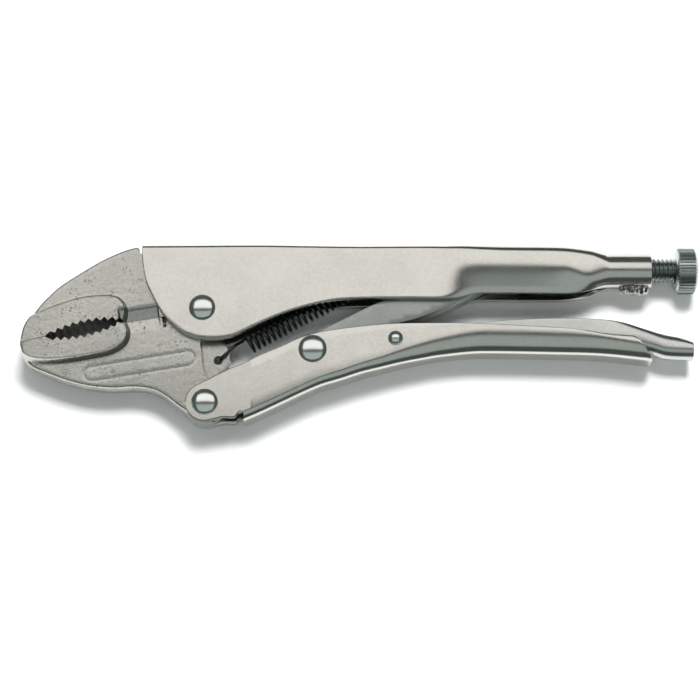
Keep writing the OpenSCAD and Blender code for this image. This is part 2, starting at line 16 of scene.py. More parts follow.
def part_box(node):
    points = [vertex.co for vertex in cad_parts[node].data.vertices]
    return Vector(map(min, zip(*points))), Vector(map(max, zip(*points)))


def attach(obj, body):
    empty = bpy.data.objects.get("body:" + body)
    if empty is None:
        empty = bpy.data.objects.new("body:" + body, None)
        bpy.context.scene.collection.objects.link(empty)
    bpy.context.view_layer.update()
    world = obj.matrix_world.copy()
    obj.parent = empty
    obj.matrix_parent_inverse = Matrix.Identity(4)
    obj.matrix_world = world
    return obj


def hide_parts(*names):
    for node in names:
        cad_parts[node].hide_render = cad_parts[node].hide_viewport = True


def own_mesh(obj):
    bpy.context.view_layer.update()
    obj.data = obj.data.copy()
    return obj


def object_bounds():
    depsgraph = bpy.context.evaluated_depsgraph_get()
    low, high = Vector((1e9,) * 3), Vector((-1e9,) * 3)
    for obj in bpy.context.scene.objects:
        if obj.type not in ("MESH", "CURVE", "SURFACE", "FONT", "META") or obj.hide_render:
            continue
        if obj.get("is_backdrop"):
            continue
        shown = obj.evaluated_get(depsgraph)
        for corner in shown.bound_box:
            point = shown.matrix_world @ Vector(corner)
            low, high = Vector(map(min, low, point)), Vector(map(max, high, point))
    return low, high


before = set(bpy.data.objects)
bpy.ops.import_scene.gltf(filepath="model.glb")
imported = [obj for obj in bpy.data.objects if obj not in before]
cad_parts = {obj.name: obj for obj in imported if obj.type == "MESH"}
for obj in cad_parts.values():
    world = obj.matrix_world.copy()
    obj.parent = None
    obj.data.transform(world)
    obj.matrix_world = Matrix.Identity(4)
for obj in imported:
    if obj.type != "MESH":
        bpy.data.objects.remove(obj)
cad_low, cad_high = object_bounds()
print("frame box", cad_low, cad_high)

# %% [markdown]
# All lengths below are in millimetres until a mesh is written, because a tool maker thinks in them.
# The rivets give the pivots, and the jaw pivot is the point that every outline is drawn from.

# %% Pivots and levels from the frame
MM = 0.001


def box_mm(node):
    low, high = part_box(node)
    return np.array(low) / MM, np.array(high) / MM


def middle_mm(node):
    low, high = box_mm(node)
    return (low + high) / 2


JAW_PIVOT = middle_mm("jaw_pivot_rivet")
HANDLE_PIVOT = middle_mm("handle_pivot_rivet")
LINK_PIVOT = middle_mm("link_pivot_rivet")
MID_Z = JAW_PIVOT[2]
DRAWN_PIVOT_Y = 9.6
PLATE_IN = 4.7
PLATE_OUT = box_mm("lower_handle")[1][2] - MID_Z - 0.9
SHEET = PLATE_OUT - PLATE_IN
WEB = 4.6
PAD = box_mm("lower_jaw")[1][2] - MID_Z
print("plates from", PLATE_IN, "to", round(PLATE_OUT, 2), "pads", round(PAD, 2))


def spot(x, y):
    """A drawn point: x from the jaw pivot, y across the tool."""
    return (JAW_PIVOT[0] + x, JAW_PIVOT[1] + y - DRAWN_PIVOT_Y)


def spots(points):
    return [spot(x, y) for x, y in points]


# %% [markdown]
# Two kinds of curve draw the whole tool. `smooth` runs through a list of points, for outlines.
# `along` reads a value at any place between stations, for widths and heights that change along a handle.
# Its slope is level at a plateau, so a width never bulges between two equal stations.

# %% Curves
def smooth(points, steps=6):
    p = np.array(points, float)
    p = np.vstack([2 * p[0] - p[1], p, 2 * p[-1] - p[-2]])
    t = np.linspace(0, 1, steps, endpoint=False)[:, None]
    out = []
    for a, b, c, d in zip(p, p[1:], p[2:], p[3:]):
        out.append(0.5 * (2 * b + (c - a) * t + (2 * a - 5 * b + 4 * c - d) * t ** 2
                          + (3 * b - a - 3 * c + d) * t ** 3))
    return np.vstack(out + [p[-2:-1]])


def arc(centre, radius, start, end, steps=24):
    a = np.radians(np.linspace(start, end, steps + 1))
    return np.stack([centre[0] + radius * np.cos(a), centre[1] + radius * np.sin(a)], 1)


def along(stations, x):
    xs, ys = np.array(stations, float).T
    step = np.diff(ys) / np.maximum(np.diff(xs), 1e-6)
    slope = np.zeros(len(xs))
    slope[1:-1] = np.where(step[1:] * step[:-1] <= 0, 0, (ys[2:] - ys[:-2]) / (xs[2:] - xs[:-2]))
    slope[0], slope[-1] = step[0], step[-1]
    i = np.clip(np.searchsorted(xs, x, side="right") - 1, 0, len(xs) - 2)
    h = xs[i + 1] - xs[i]
    t = np.clip((x - xs[i]) / h, 0, 1)
    return (ys[i] * (2 * t ** 3 - 3 * t ** 2 + 1) + slope[i] * h * (t ** 3 - 2 * t ** 2 + t)
            + ys[i + 1] * (3 * t ** 2 - 2 * t ** 3) + slope[i + 1] * h * (t ** 3 - t ** 2))


def drawn(stations):
    return [(JAW_PIVOT[0] + x, v) for x, v in stations]


def resampled(points, gap):
    """The same polyline with points every gap."""
    p = np.array(points, float)
    s = np.r_[0, np.cumsum(np.linalg.norm(np.diff(p, axis=0), axis=1))]
    at = np.linspace(0, s[-1], max(2, int(round(s[-1] / gap)) + 1))
    return np.stack([np.interp(at, s, p[:, 0]), np.interp(at, s, p[:, 1])], 1)


# %% [markdown]
# A finished piece is one closed mesh at the origin. `new_mesh` writes it and points its faces outwards;
# `finish_piece` shades it smooth with sharp edges kept, gives it its metal, hides the frame's parts that it
# stands for and hangs it on its body.

# %% Writing a piece
SMOOTH_ANGLE = math.radians(34)


def new_mesh(name, points_mm, faces):
    mesh = bpy.data.meshes.new(name)
    mesh.from_pydata([tuple(p) for p in np.array(points_mm) * MM], [], faces)
    bm = bmesh.new()
    bm.from_mesh(mesh)
    bmesh.ops.remove_doubles(bm, verts=bm.verts, dist=1e-7)
    bmesh.ops.dissolve_degenerate(bm, edges=bm.edges, dist=1e-7)
    bmesh.ops.recalc_face_normals(bm, faces=bm.faces)
    bm.to_mesh(mesh)
    bm.free()
    piece = bpy.data.objects.new(name, mesh)
    bpy.context.scene.collection.objects.link(piece)
    return piece


def apply_modifiers(piece):
    """Turns the evaluated object into a plain mesh."""
    depsgraph = bpy.context.evaluated_depsgraph_get()
    depsgraph.update()
    mesh = bpy.data.meshes.new_from_object(piece.evaluated_get(depsgraph))
    piece.modifiers.clear()
    piece.data = mesh


def round_edges(piece, width, segments=3, angle=40, keep=None):
    """A narrow bevel on every edge sharper than the angle, except where keep(x in mm) says to leave it."""
    bm = bmesh.new()
    bm.from_mesh(piece.data)
    weight = bm.edges.layers.float.new("bevel_weight_edge")
    for edge in bm.edges:
        left = keep is not None and all(keep(v.co.x / MM) for v in edge.verts)
        if len(edge.link_faces) == 2 and edge.calc_face_angle(0) > math.radians(angle) and not left:
            edge[weight] = 1.0
    bm.to_mesh(piece.data)
    bm.free()
    bevel = piece.modifiers.new("edge", "BEVEL")
    bevel.width = width * MM
    bevel.segments = segments
    bevel.limit_method = "WEIGHT"
    bevel.use_clamp_overlap = False
    apply_modifiers(piece)


def finish_piece(piece, body, material, nodes=()):
    piece.data.materials.clear()
    piece.data.materials.append(material)
    piece.data.shade_smooth()
    piece.data.set_sharp_from_angle(angle=SMOOTH_ANGLE)
    for node in nodes:
        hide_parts(node)
    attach(piece, body)
    low, high = np.array(piece.bound_box).min(0) / MM, np.array(piece.bound_box).max(0) / MM
    print(piece.name, len(piece.data.polygons), "faces,", low.round(3), high.round(3))


# %% [markdown]
# ## The metals
# Nearly everything is steel with a satin nickel plating. Three effects make the difference between pieces,
# and each is a node group: a fine grain from tumbling, the pits and scale marks of a forging,
# and faint cloudy stains from handling. A group only gives masks and heights.
# The Principled shader stays in the material, where its own sockets hold what is the same everywhere.

# %% Shader groups
def group(name, inputs, outputs):
    tree = bpy.data.node_groups.new(name, "ShaderNodeTree")
    for label, value in inputs.items():
        kind = "NodeSocketVector" if label == "Place" else "NodeSocketFloat"
        socket = tree.interface.new_socket(label, in_out="INPUT", socket_type=kind)
        if value is not None:
            socket.default_value = value
    for label in outputs:
        tree.interface.new_socket(label, in_out="OUTPUT", socket_type="NodeSocketFloat")
    return tree, tree.nodes.new("NodeGroupInput"), tree.nodes.new("NodeGroupOutput")


def add(tree, kind, links=(), **values):
    node = tree.nodes.new(kind)
    for key, value in values.items():
        setattr(node, key, value)
    for socket, source in dict(links).items():
        if isinstance(source, bpy.types.NodeSocket):
            tree.links.new(source, node.inputs[socket])
        else:
            node.inputs[socket].default_value = source
    return node


def noise(tree, place, scale, detail=3.0, rough=0.55):
    return add(tree, "ShaderNodeTexNoise", {"Vector": place, "Scale": scale, "Detail": detail,
                                            "Roughness": rough}).outputs["Fac"]


def math_node(tree, operation, a, b=0.0, clamp=False):
    return add(tree, "ShaderNodeMath", {0: a, 1: b}, operation=operation, use_clamp=clamp).outputs[0]


def remap(tree, value, low, high, to_low=0.0, to_high=1.0):
    return add(tree, "ShaderNodeMapRange", {"Value": value, "From Min": low, "From Max": high,
                                            "To Min": to_low, "To Max": to_high}).outputs["Result"]


# Fine grain: two sizes of noise, one drawn out along the tool as a faint brushing
grain_group, g_in, g_out = group("fine grain", {"Place": None, "Grain Scale": 5200.0, "Brushing": 0.35},
                                 ["Height", "Roughness"])
fine = noise(grain_group, g_in.outputs["Place"], g_in.outputs["Grain Scale"], 2.0)
stretch = add(grain_group, "ShaderNodeMapping", {"Vector": g_in.outputs["Place"], "Scale": (0.12, 1.0, 1.0)})
brushed = noise(grain_group, stretch.outputs[0], 3400.0, 2.0)
brushed = math_node(grain_group, "MULTIPLY", brushed, g_in.outputs["Brushing"])
grain_height = math_node(grain_group, "ADD", fine, brushed)
grain_group.links.new(grain_height, g_out.inputs["Height"])
grain_group.links.new(remap(grain_group, grain_height, 0.2, 1.0, -0.04, 0.05), g_out.inputs["Roughness"])

# Pits: small rounded hollows, here and there, on a softly uneven ground
pit_group, p_in, p_out = group("forging pits", {"Place": None, "Pit Scale": 900.0, "Pit Amount": 0.5},
                               ["Height", "Pits"])
cells = add(pit_group, "ShaderNodeTexVoronoi", {"Vector": p_in.outputs["Place"],
                                                "Scale": p_in.outputs["Pit Scale"]})
hollow = remap(pit_group, cells.outputs["Distance"], 0.12, 0.34, 1.0, 0.0)
patchy = remap(pit_group, noise(pit_group, p_in.outputs["Place"], 160.0, 3.0), 0.5, 0.62)
pits = math_node(pit_group, "MULTIPLY", math_node(pit_group, "MULTIPLY", hollow, patchy),
                 p_in.outputs["Pit Amount"])
uneven = noise(pit_group, p_in.outputs["Place"], 420.0, 4.0)
pit_height = math_node(pit_group, "SUBTRACT", uneven, pits)
pit_group.links.new(pit_height, p_out.inputs["Height"])
pit_group.links.new(pits, p_out.inputs["Pits"])

# Clouds: broad faint stains and a few darker specks
cloud_group, c_in, c_out = group("handling clouds", {"Place": None, "Cloud Scale": 60.0},
                                 ["Clouds", "Specks"])
clouds = remap(cloud_group, noise(cloud_group, c_in.outputs["Place"], c_in.outputs["Cloud Scale"], 4.0, 0.6),
               0.35, 0.7)
speck_cells = add(cloud_group, "ShaderNodeTexVoronoi", {"Vector": c_in.outputs["Place"], "Scale": 520.0})
specks = remap(cloud_group, speck_cells.outputs["Distance"], 0.04, 0.1, 1.0, 0.0)
rare = remap(cloud_group, noise(cloud_group, c_in.outputs["Place"], 210.0, 2.0), 0.6, 0.68)
mottle = remap(cloud_group, noise(cloud_group, c_in.outputs["Place"], 900.0, 3.0, 0.7), 0.3, 0.7)
clouds = math_node(cloud_group, "ADD", math_node(cloud_group, "MULTIPLY", clouds, 0.45),
                   math_node(cloud_group, "MULTIPLY", mottle, 0.55))
cloud_group.links.new(clouds, c_out.inputs["Clouds"])
cloud_group.links.new(math_node(cloud_group, "MULTIPLY", specks, rare), c_out.inputs["Specks"])


# %% [markdown]
# One function builds each metal from those groups. A metal has a light and a stained colour,
# a roughness, and how much grain, pitting and clouding it shows.

# %% A metal from the groups
def metal(name, light, stained, rough, grain=0.1, brushing=0.35, pitting=0.0, pit_scale=900.0, spread=0.06,
          relief_depth=0.1):
    material = bpy.data.materials.new(name)
    material.use_nodes = True
    tree = material.node_tree
    shader = tree.nodes["Principled BSDF"]
    shader.inputs["Metallic"].default_value = 1.0
    place = add(tree, "ShaderNodeTexCoord").outputs["Object"]
    fine_grain = add(tree, "ShaderNodeGroup", node_tree=grain_group)
    forged = add(tree, "ShaderNodeGroup", node_tree=pit_group)
    cloudy = add(tree, "ShaderNodeGroup", node_tree=cloud_group)
    for effect in (fine_grain, forged, cloudy):
        tree.links.new(place, effect.inputs["Place"])
    fine_grain.inputs["Brushing"].default_value = brushing
    forged.inputs["Pit Scale"].default_value = pit_scale
    forged.inputs["Pit Amount"].default_value = pitting
    mix = add(tree, "ShaderNodeMix", {"Factor": cloudy.outputs["Clouds"], "A": light, "B": stained},
              data_type="RGBA")
    dirt = math_node(tree, "ADD", forged.outputs["Pits"], cloudy.outputs["Specks"], clamp=True)
    dirt = math_node(tree, "MULTIPLY", dirt, 0.55)
    dark = tuple(0.35 * v for v in stained[:3]) + (1.0,)
    colour = add(tree, "ShaderNodeMix", {"Factor": dirt, "A": mix.outputs["Result"], "B": dark},
                 data_type="RGBA")
    tree.links.new(colour.outputs["Result"], shader.inputs["Base Color"])
    base = remap(tree, cloudy.outputs["Clouds"], 0.0, 1.0, rough - spread / 2, rough + spread / 2)
    roughness = math_node(tree, "ADD", base, fine_grain.outputs["Roughness"], clamp=True)
    tree.links.new(roughness, shader.inputs["Roughness"])
    height = math_node(tree, "ADD", math_node(tree, "MULTIPLY", fine_grain.outputs["Height"], grain),
                       math_node(tree, "MULTIPLY", forged.outputs["Height"], pitting))
    bump = add(tree, "ShaderNodeBump", {"Strength": 0.4, "Distance": relief_depth * MM, "Height": height})
    tree.links.new(bump.outputs["Normal"], shader.inputs["Normal"])
    return material


HANDLE_METAL = metal("satin nickel sheet", (0.66, 0.64, 0.60, 1), (0.59, 0.575, 0.545, 1), 0.18, grain=0.2)
LEVER_METAL = metal("satin nickel thin sheet", (0.60, 0.60, 0.58, 1), (0.52, 0.53, 0.515, 1), 0.21,
                    grain=0.12)
JAW_METAL = metal("nickel plated forging", (0.60, 0.58, 0.545, 1), (0.48, 0.47, 0.445, 1), 0.28, grain=0.3,
                  brushing=0.1, pitting=1.0, relief_depth=0.22)
LINK_METAL = metal("dull plated bar", (0.46, 0.47, 0.455, 1), (0.38, 0.39, 0.38, 1), 0.36, grain=0.2,
                   pitting=0.3)
RIVET_METAL = metal("bright rivet steel", (0.80, 0.80, 0.79, 1), (0.76, 0.76, 0.75, 1), 0.19, grain=0.01,
                    brushing=0.0, spread=0.02)
THREAD_METAL = metal("dark plated thread", (0.40, 0.44, 0.43, 1), (0.27, 0.30, 0.30, 1), 0.28, grain=0.1,
                     brushing=0.0)
KNOB_METAL = metal("grey knurled steel", (0.58, 0.60, 0.59, 1), (0.46, 0.48, 0.47, 1), 0.22, grain=0.1,
                   brushing=0.1)
SPRING_METAL = metal("oiled spring wire", (0.10, 0.115, 0.115, 1), (0.06, 0.07, 0.07, 1), 0.26, grain=0.03,
                     brushing=0.0)
WELD_METAL = metal("weld bead", (0.62, 0.61, 0.58, 1), (0.40, 0.40, 0.385, 1), 0.22, grain=0.5, brushing=0.0,
                   pitting=0.8, pit_scale=1500.0)

# %% [markdown]
# ## Folded sheet
# Each handle is a flat blank that a press folds over a former. So a handle is modelled the same way:
# a section, which is the sheet's path from one rim over the back to the other, is carried along stations.
# The outer face is drawn and the inner face lies one sheet thickness inside it.

# %% The folded section
BACK_STEPS = 4
FOLD_STEPS = 10


def half_section(back, rim, half, fold, rim_half, belly, low, sheet, side_steps, tall=None, crease=1.0):
    """Outer and inner half paths as (z, y), and how far down the side each point is, from 0 to 1."""
    turn = np.radians(np.linspace(90, 0, FOLD_STEPS + 1))
    t = np.linspace(0, 1, side_steps + 1)[1:, None]

    tall = fold if tall is None else tall

    def path(w, top, r, tall_r, p0, p1, p2):
        flat = np.stack([np.linspace(0, w - r, BACK_STEPS, endpoint=False), np.full(BACK_STEPS, top)], 1)
        corner = np.stack([w - r + r * np.cos(turn), top - tall_r + tall_r * np.sin(turn)], 1)
        ends, bend = (1 - t) ** 2 * p0 + t ** 2 * p2, 2 * crease * t * (1 - t)
        side = (ends + bend * p1) / ((1 - t) ** 2 + t ** 2 + bend)
        return np.vstack([flat, corner, side])

    p0 = np.array([half, back - tall])
    p1 = np.array([half + belly, back - tall + (rim - back + tall) * low])
    p2 = np.array([rim_half, rim])
    e, d = (p1 - p0) / np.linalg.norm(p1 - p0), (p2 - p1) / np.linalg.norm(p2 - p1)
    n0, n2 = np.array([-e[1], e[0]]), np.array([-d[1], d[0]])
    inner_fold, inner_tall = max(fold - sheet, 0.4), max(tall - sheet, 0.4)
    q0 = np.array([half - sheet, back - sheet - inner_tall])
    q1, q2 = p1 - sheet * (n0 + n2) / (1 + n0 @ n2), p2 - sheet * n2
    outer = path(half, back, fold, tall, p0, p1, p2)
    inner = path(half - sheet, back - sheet, inner_fold, inner_tall, q0, q1, q2)
    down = np.r_[np.zeros(BACK_STEPS + FOLD_STEPS + 1), t[:, 0]]
    return outer, inner, down


def folded_sheet(name, rings, flip=1, side_steps=16):
    """rings: one dict a station, with x at the back, x_rim at the rim and the section's values."""
    outer_rows, inner_rows = [], []
    for ring in rings:
        values = [ring[k] for k in ("half", "fold", "rim_half", "belly", "low", "sheet")]
        outer, inner, down = half_section(flip * ring["back"], flip * ring["rim"], *values, side_steps,
                                          ring.get("tall"), ring.get("crease", 1.0))
        for path, rows in ((outer, outer_rows), (inner, inner_rows)):
            x = ring["x"] + (ring.get("x_rim", ring["x"]) - ring["x"]) * down
            if "lean" in ring:
                x = x + ring["lean"](flip * path[:, 1])
            right = np.stack([x, flip * path[:, 1], MID_Z + path[:, 0]], 1)
            left = np.stack([x, flip * path[:, 1], MID_Z - path[:, 0]], 1)[:0:-1]
            rows.append(np.vstack([left, right]))
    outer_rows, inner_rows = np.array(outer_rows), np.array(inner_rows)
    n, m = outer_rows.shape[:2]
    points = np.vstack([outer_rows.reshape(-1, 3), inner_rows.reshape(-1, 3)])
    at = lambda layer, i, j: layer * n * m + i * m + j
    faces = []
    for i in range(n - 1):
        for j in range(m - 1):
            for layer in (0, 1):
                faces.append((at(layer, i, j), at(layer, i, j + 1),
                              at(layer, i + 1, j + 1), at(layer, i + 1, j)))
        for j in (0, m - 1):
            faces.append((at(0, i, j), at(0, i + 1, j), at(1, i + 1, j), at(1, i, j)))
    for i in (0, n - 1):
        for j in range(m - 1):
            faces.append((at(0, i, j), at(0, i, j + 1), at(1, i, j + 1), at(1, i, j)))
    return new_mesh(name, points, faces)


# %% [markdown]
# ## Upper handle
# In front it is a channel of two flat plates. Behind the middle the plates bow out into a rounded grip
# whose rims curl in, and at the end the sheet is rolled into the tube that holds the adjusting screw.
# The front edge of the plates sweeps back in a curve, so the first stations lean to follow that edge.

# %% Stations of the upper handle
KNOB_LOW, KNOB_HIGH = box_mm("adjusting_knob")
SCREW_LOW, SCREW_HIGH = box_mm("adjusting_screw")
SCREW_Y = (SCREW_LOW[1] + SCREW_HIGH[1]) / 2
SCREW_R = (SCREW_HIGH[1] - SCREW_LOW[1]) / 2
TUBE_END = box_mm("upper_handle")[1][0]
TUBE_LEN = 15.4
TUBE_R = 6.7
TUBE_X = TUBE_END - TUBE_LEN
TUBE_TOP, TUBE_LOW = SCREW_Y + TUBE_R, SCREW_Y - TUBE_R
GRIP = PLATE_OUT + 1.0


def up(y):
    return spot(0, y)[1]


def placed(stations):
    return [spot(x, y) for x, y in stations]


def necked(stations):
    return [(TUBE_X + x, v) for x, v in stations]


upper_back = placed([(-22.7, 34.0), (0, 34.1), (18, 34.2), (40, 33.9), (58, 33.7), (80, 33.9),
                     (110, 34.0)]) + necked(
    [(-18, up(33.8)), (-8, up(33.2)), (-2.4, TUBE_TOP + 0.55), (-1.2, TUBE_TOP + 0.35), (-0.6, TUBE_TOP),
     (TUBE_LEN, TUBE_TOP)])
upper_rim = smooth(spots([(-22.6, 29.6), (-22.5, 28.4), (-22.1, 25.3), (-21, 20.3), (-19.5, 16.5),
                          (-16.5, 10.5), (-13.2, 5.5), (-8, 0.6), (-4.3, -1.3), (-0.6, -2.3), (4.2, -2.5),
                          (8.7, -2.1), (12.4, -0.9), (17.9, 1.9), (23.9, 4.8), (30.2, 7.5), (36.5, 9.6),
                          (43.9, 11.5), (51.3, 12.7), (62.4, 13.1), (73.5, 13.2), (88.3, 13.1)]), 8)
grip_rim = placed([(62.4, 13.1), (73.5, 13.2), (88.3, 13.1), (93.9, 13.4), (99.4, 14.8),
                   (103.1, 15.3)]) + necked(
    [(-18, up(15.2)), (-12.8, up(15.6)), (-8, up(16.6)), (-4, TUBE_LOW - 0.8), (0, TUBE_LOW),
     (TUBE_LEN, TUBE_LOW)])
upper_half = drawn([(-22.6, PLATE_OUT), (88, PLATE_OUT), (98, GRIP)]) + necked(
    [(-17, GRIP), (-8, TUBE_R + 0.4), (0, TUBE_R), (TUBE_LEN, TUBE_R)])
upper_fold = drawn([(-22.6, 1.7), (84, 1.8), (110, 3.3)]) + necked(
    [(-17, 3.6), (-7, 4.2), (0, TUBE_R - 0.1), (TUBE_LEN, TUBE_R - 0.1)])
upper_rim_half = drawn([(-22.6, PLATE_OUT), (88, PLATE_OUT), (98, 6.5), (124, 6.4)]) + necked(
    [(-17, 6.0), (-8, 4.4), (0, 0.6), (TUBE_LEN, 0.6)])
upper_belly = drawn([(-22.6, 0), (88, 0), (98, 0.2)]) + necked([(-17, 0.2), (0, 0), (TUBE_LEN, 0)])
# How far down the side the crease lies, and how sharp it is
upper_low = drawn([(-22.6, 0.6), (84, 0.6), (96, 0.34)]) + necked(
    [(-17, 0.38), (-8, 0.7), (0, 1), (TUBE_LEN, 1)])
upper_crease = drawn([(-22.6, 1), (86, 1), (96, 2.8)]) + necked([(-17, 2.8), (-8, 2), (0, 1), (TUBE_LEN, 1)])
upper_sheet = drawn([(-22.6, SHEET), (88, SHEET), (98, 1.9)]) + necked(
    [(-15, 1.7), (TUBE_LEN, 1.7)])


def section_at(x, back, half, fold, rim_half, belly, low, sheet):
    return {"x": x, "back": along(back, x), "half": along(half, x), "fold": along(fold, x),
            "rim_half": along(rim_half, x), "belly": along(belly, x), "low": along(low, x),
            "sheet": along(sheet, x)}


upper_lists = (upper_back, upper_half, upper_fold, upper_rim_half, upper_belly, upper_low, upper_sheet)
edge_points = resampled(upper_rim[upper_rim[:, 0] <= JAW_PIVOT[0] + 70], 1.15)
front_x = np.linspace(spot(-22.7, 0)[0], edge_points[-1][0], len(edge_points))
upper_rings = []
for x, (x_rim, y_rim) in zip(front_x, edge_points):
    upper_rings.append(section_at(x, *upper_lists) | {
        "rim": y_rim, "x_rim": x_rim, "crease": along(upper_crease, x)})
for x in np.r_[np.arange(front_x[-1] + 1.2, TUBE_X - 3, 1.1), np.arange(TUBE_X - 3, TUBE_X + 1, 0.4),
               np.linspace(TUBE_X + 1, TUBE_END, 12)]:
    upper_rings.append(section_at(x, *upper_lists) | {
        "rim": along(grip_rim, x), "crease": along(upper_crease, x)})
upper_handle = folded_sheet("upper_handle_sheet", upper_rings)
round_edges(upper_handle, 0.3)
finish_piece(upper_handle, "fixed_frame", HANDLE_METAL, ["upper_handle"])

# %% [markdown]
# The seam under the tube is closed by a short weld. A weld bead is a row of overlapping ripples,
# so its radius rises and falls along its length and it is lumpy across.

# %% Weld bead
def weld_bead():
    length, radius, rounds, ripples = TUBE_LEN - 3.6, 2.25, 48, 7
    u = np.linspace(0, 1, 64)
    a = np.linspace(0, 2 * math.pi, rounds, endpoint=False)
    points = []
    for s in u:
        ends = math.sqrt(max(0.0, 1 - (2 * s - 1) ** 6))
        ripple = 1 + 0.09 * math.sin(2 * math.pi * ripples * s) + 0.05 * math.sin(17.3 * s + 1.1)
        for b in a:
            lump = 1 + 0.07 * math.sin(3 * b + 9 * s) + 0.05 * math.sin(5 * b - 14 * s)
            r = radius * ends * ripple * lump
            points.append((TUBE_END - length - 0.3 + s * length, TUBE_LOW - 0.1 + r * math.sin(b),
                           MID_Z + 1.15 * r * math.cos(b)))
    faces = []
    for i in range(len(u) - 1):
        for j in range(rounds):
            k = (j + 1) % rounds
            faces.append((i * rounds + j, i * rounds + k, (i + 1) * rounds + k, (i + 1) * rounds + j))
    return new_mesh("tube_weld_bead", points, faces)


finish_piece(weld_bead(), "fixed_frame", WELD_METAL)

# %% [markdown]
# ## Forged pieces
# The jaws and the link are thick bars with relief on both faces: raised pads, ground bevels, a rounded edge.
# A relief is a flat outline cut into triangles, whose points are then raised to a height.
# Lines that must stay crisp, such as the link's rounded edge, can be given to the triangulation as fixed
# edges; a pad's sloping edge gets rows of extra points instead.

# %% Distances and triangulation
def inside(points, loop):
    x, y = points[:, 0], points[:, 1]
    hit = np.zeros(len(points), bool)
    a = np.array(loop)
    b = np.roll(a, -1, axis=0)
    for (x0, y0), (x1, y1) in zip(a, b):
        if y0 != y1:
            hit ^= ((y0 > y) != (y1 > y)) & (x < (x1 - x0) * (y - y0) / (y1 - y0) + x0)
    return hit


def distance(points, line, closed=False):
    a = np.array(line, float)
    b = np.roll(a, -1, axis=0)
    if not closed:
        a, b = a[:-1], b[:-1]
    best = np.full(len(points), 1e9)
    for p, q in zip(a, b):
        d = q - p
        t = np.clip(((points - p) @ d) / max(d @ d, 1e-12), 0, 1)
        best = np.minimum(best, np.linalg.norm(points - p - t[:, None] * d, axis=1))
    return best


def signed(points, loop):
    """Distance to a closed loop, positive inside it."""
    return np.where(inside(points, loop), 1, -1) * distance(points, loop, closed=True)


def offset(line, gap):
    """A line moved sideways, to its left for a positive gap."""
    p = np.array(line, float)
    d = np.gradient(p, axis=0)
    d /= np.maximum(np.linalg.norm(d, axis=1), 1e-9)[:, None]
    return p + gap * np.stack([-d[:, 1], d[:, 0]], 1)


def thinned(points, fixed, gap):
    """Drops points that lie nearer than the gap to a fixed point or to one that was kept before."""
    cells = {}
    kept = []

    def near(p):
        i, j = int(p[0] // gap), int(p[1] // gap)
        return any((q[0] - p[0]) ** 2 + (q[1] - p[1]) ** 2 < gap * gap
                   for a in (i - 1, i, i + 1) for b in (j - 1, j, j + 1) for q in cells.get((a, b), ()))

    def put(p):
        cells.setdefault((int(p[0] // gap), int(p[1] // gap)), []).append(p)

    for p in fixed:
        put(tuple(p))
    for p in points:
        p = tuple(p)
        if not near(p):
            put(p)
            kept.append(p)
    return kept


def rows_beside(line, gaps, step=0.35):
    """Rows of points at given distances to the left of a line, for a slope that runs along it."""
    fine = resampled(line, step)
    return np.vstack([offset(fine, gap) for gap in gaps])


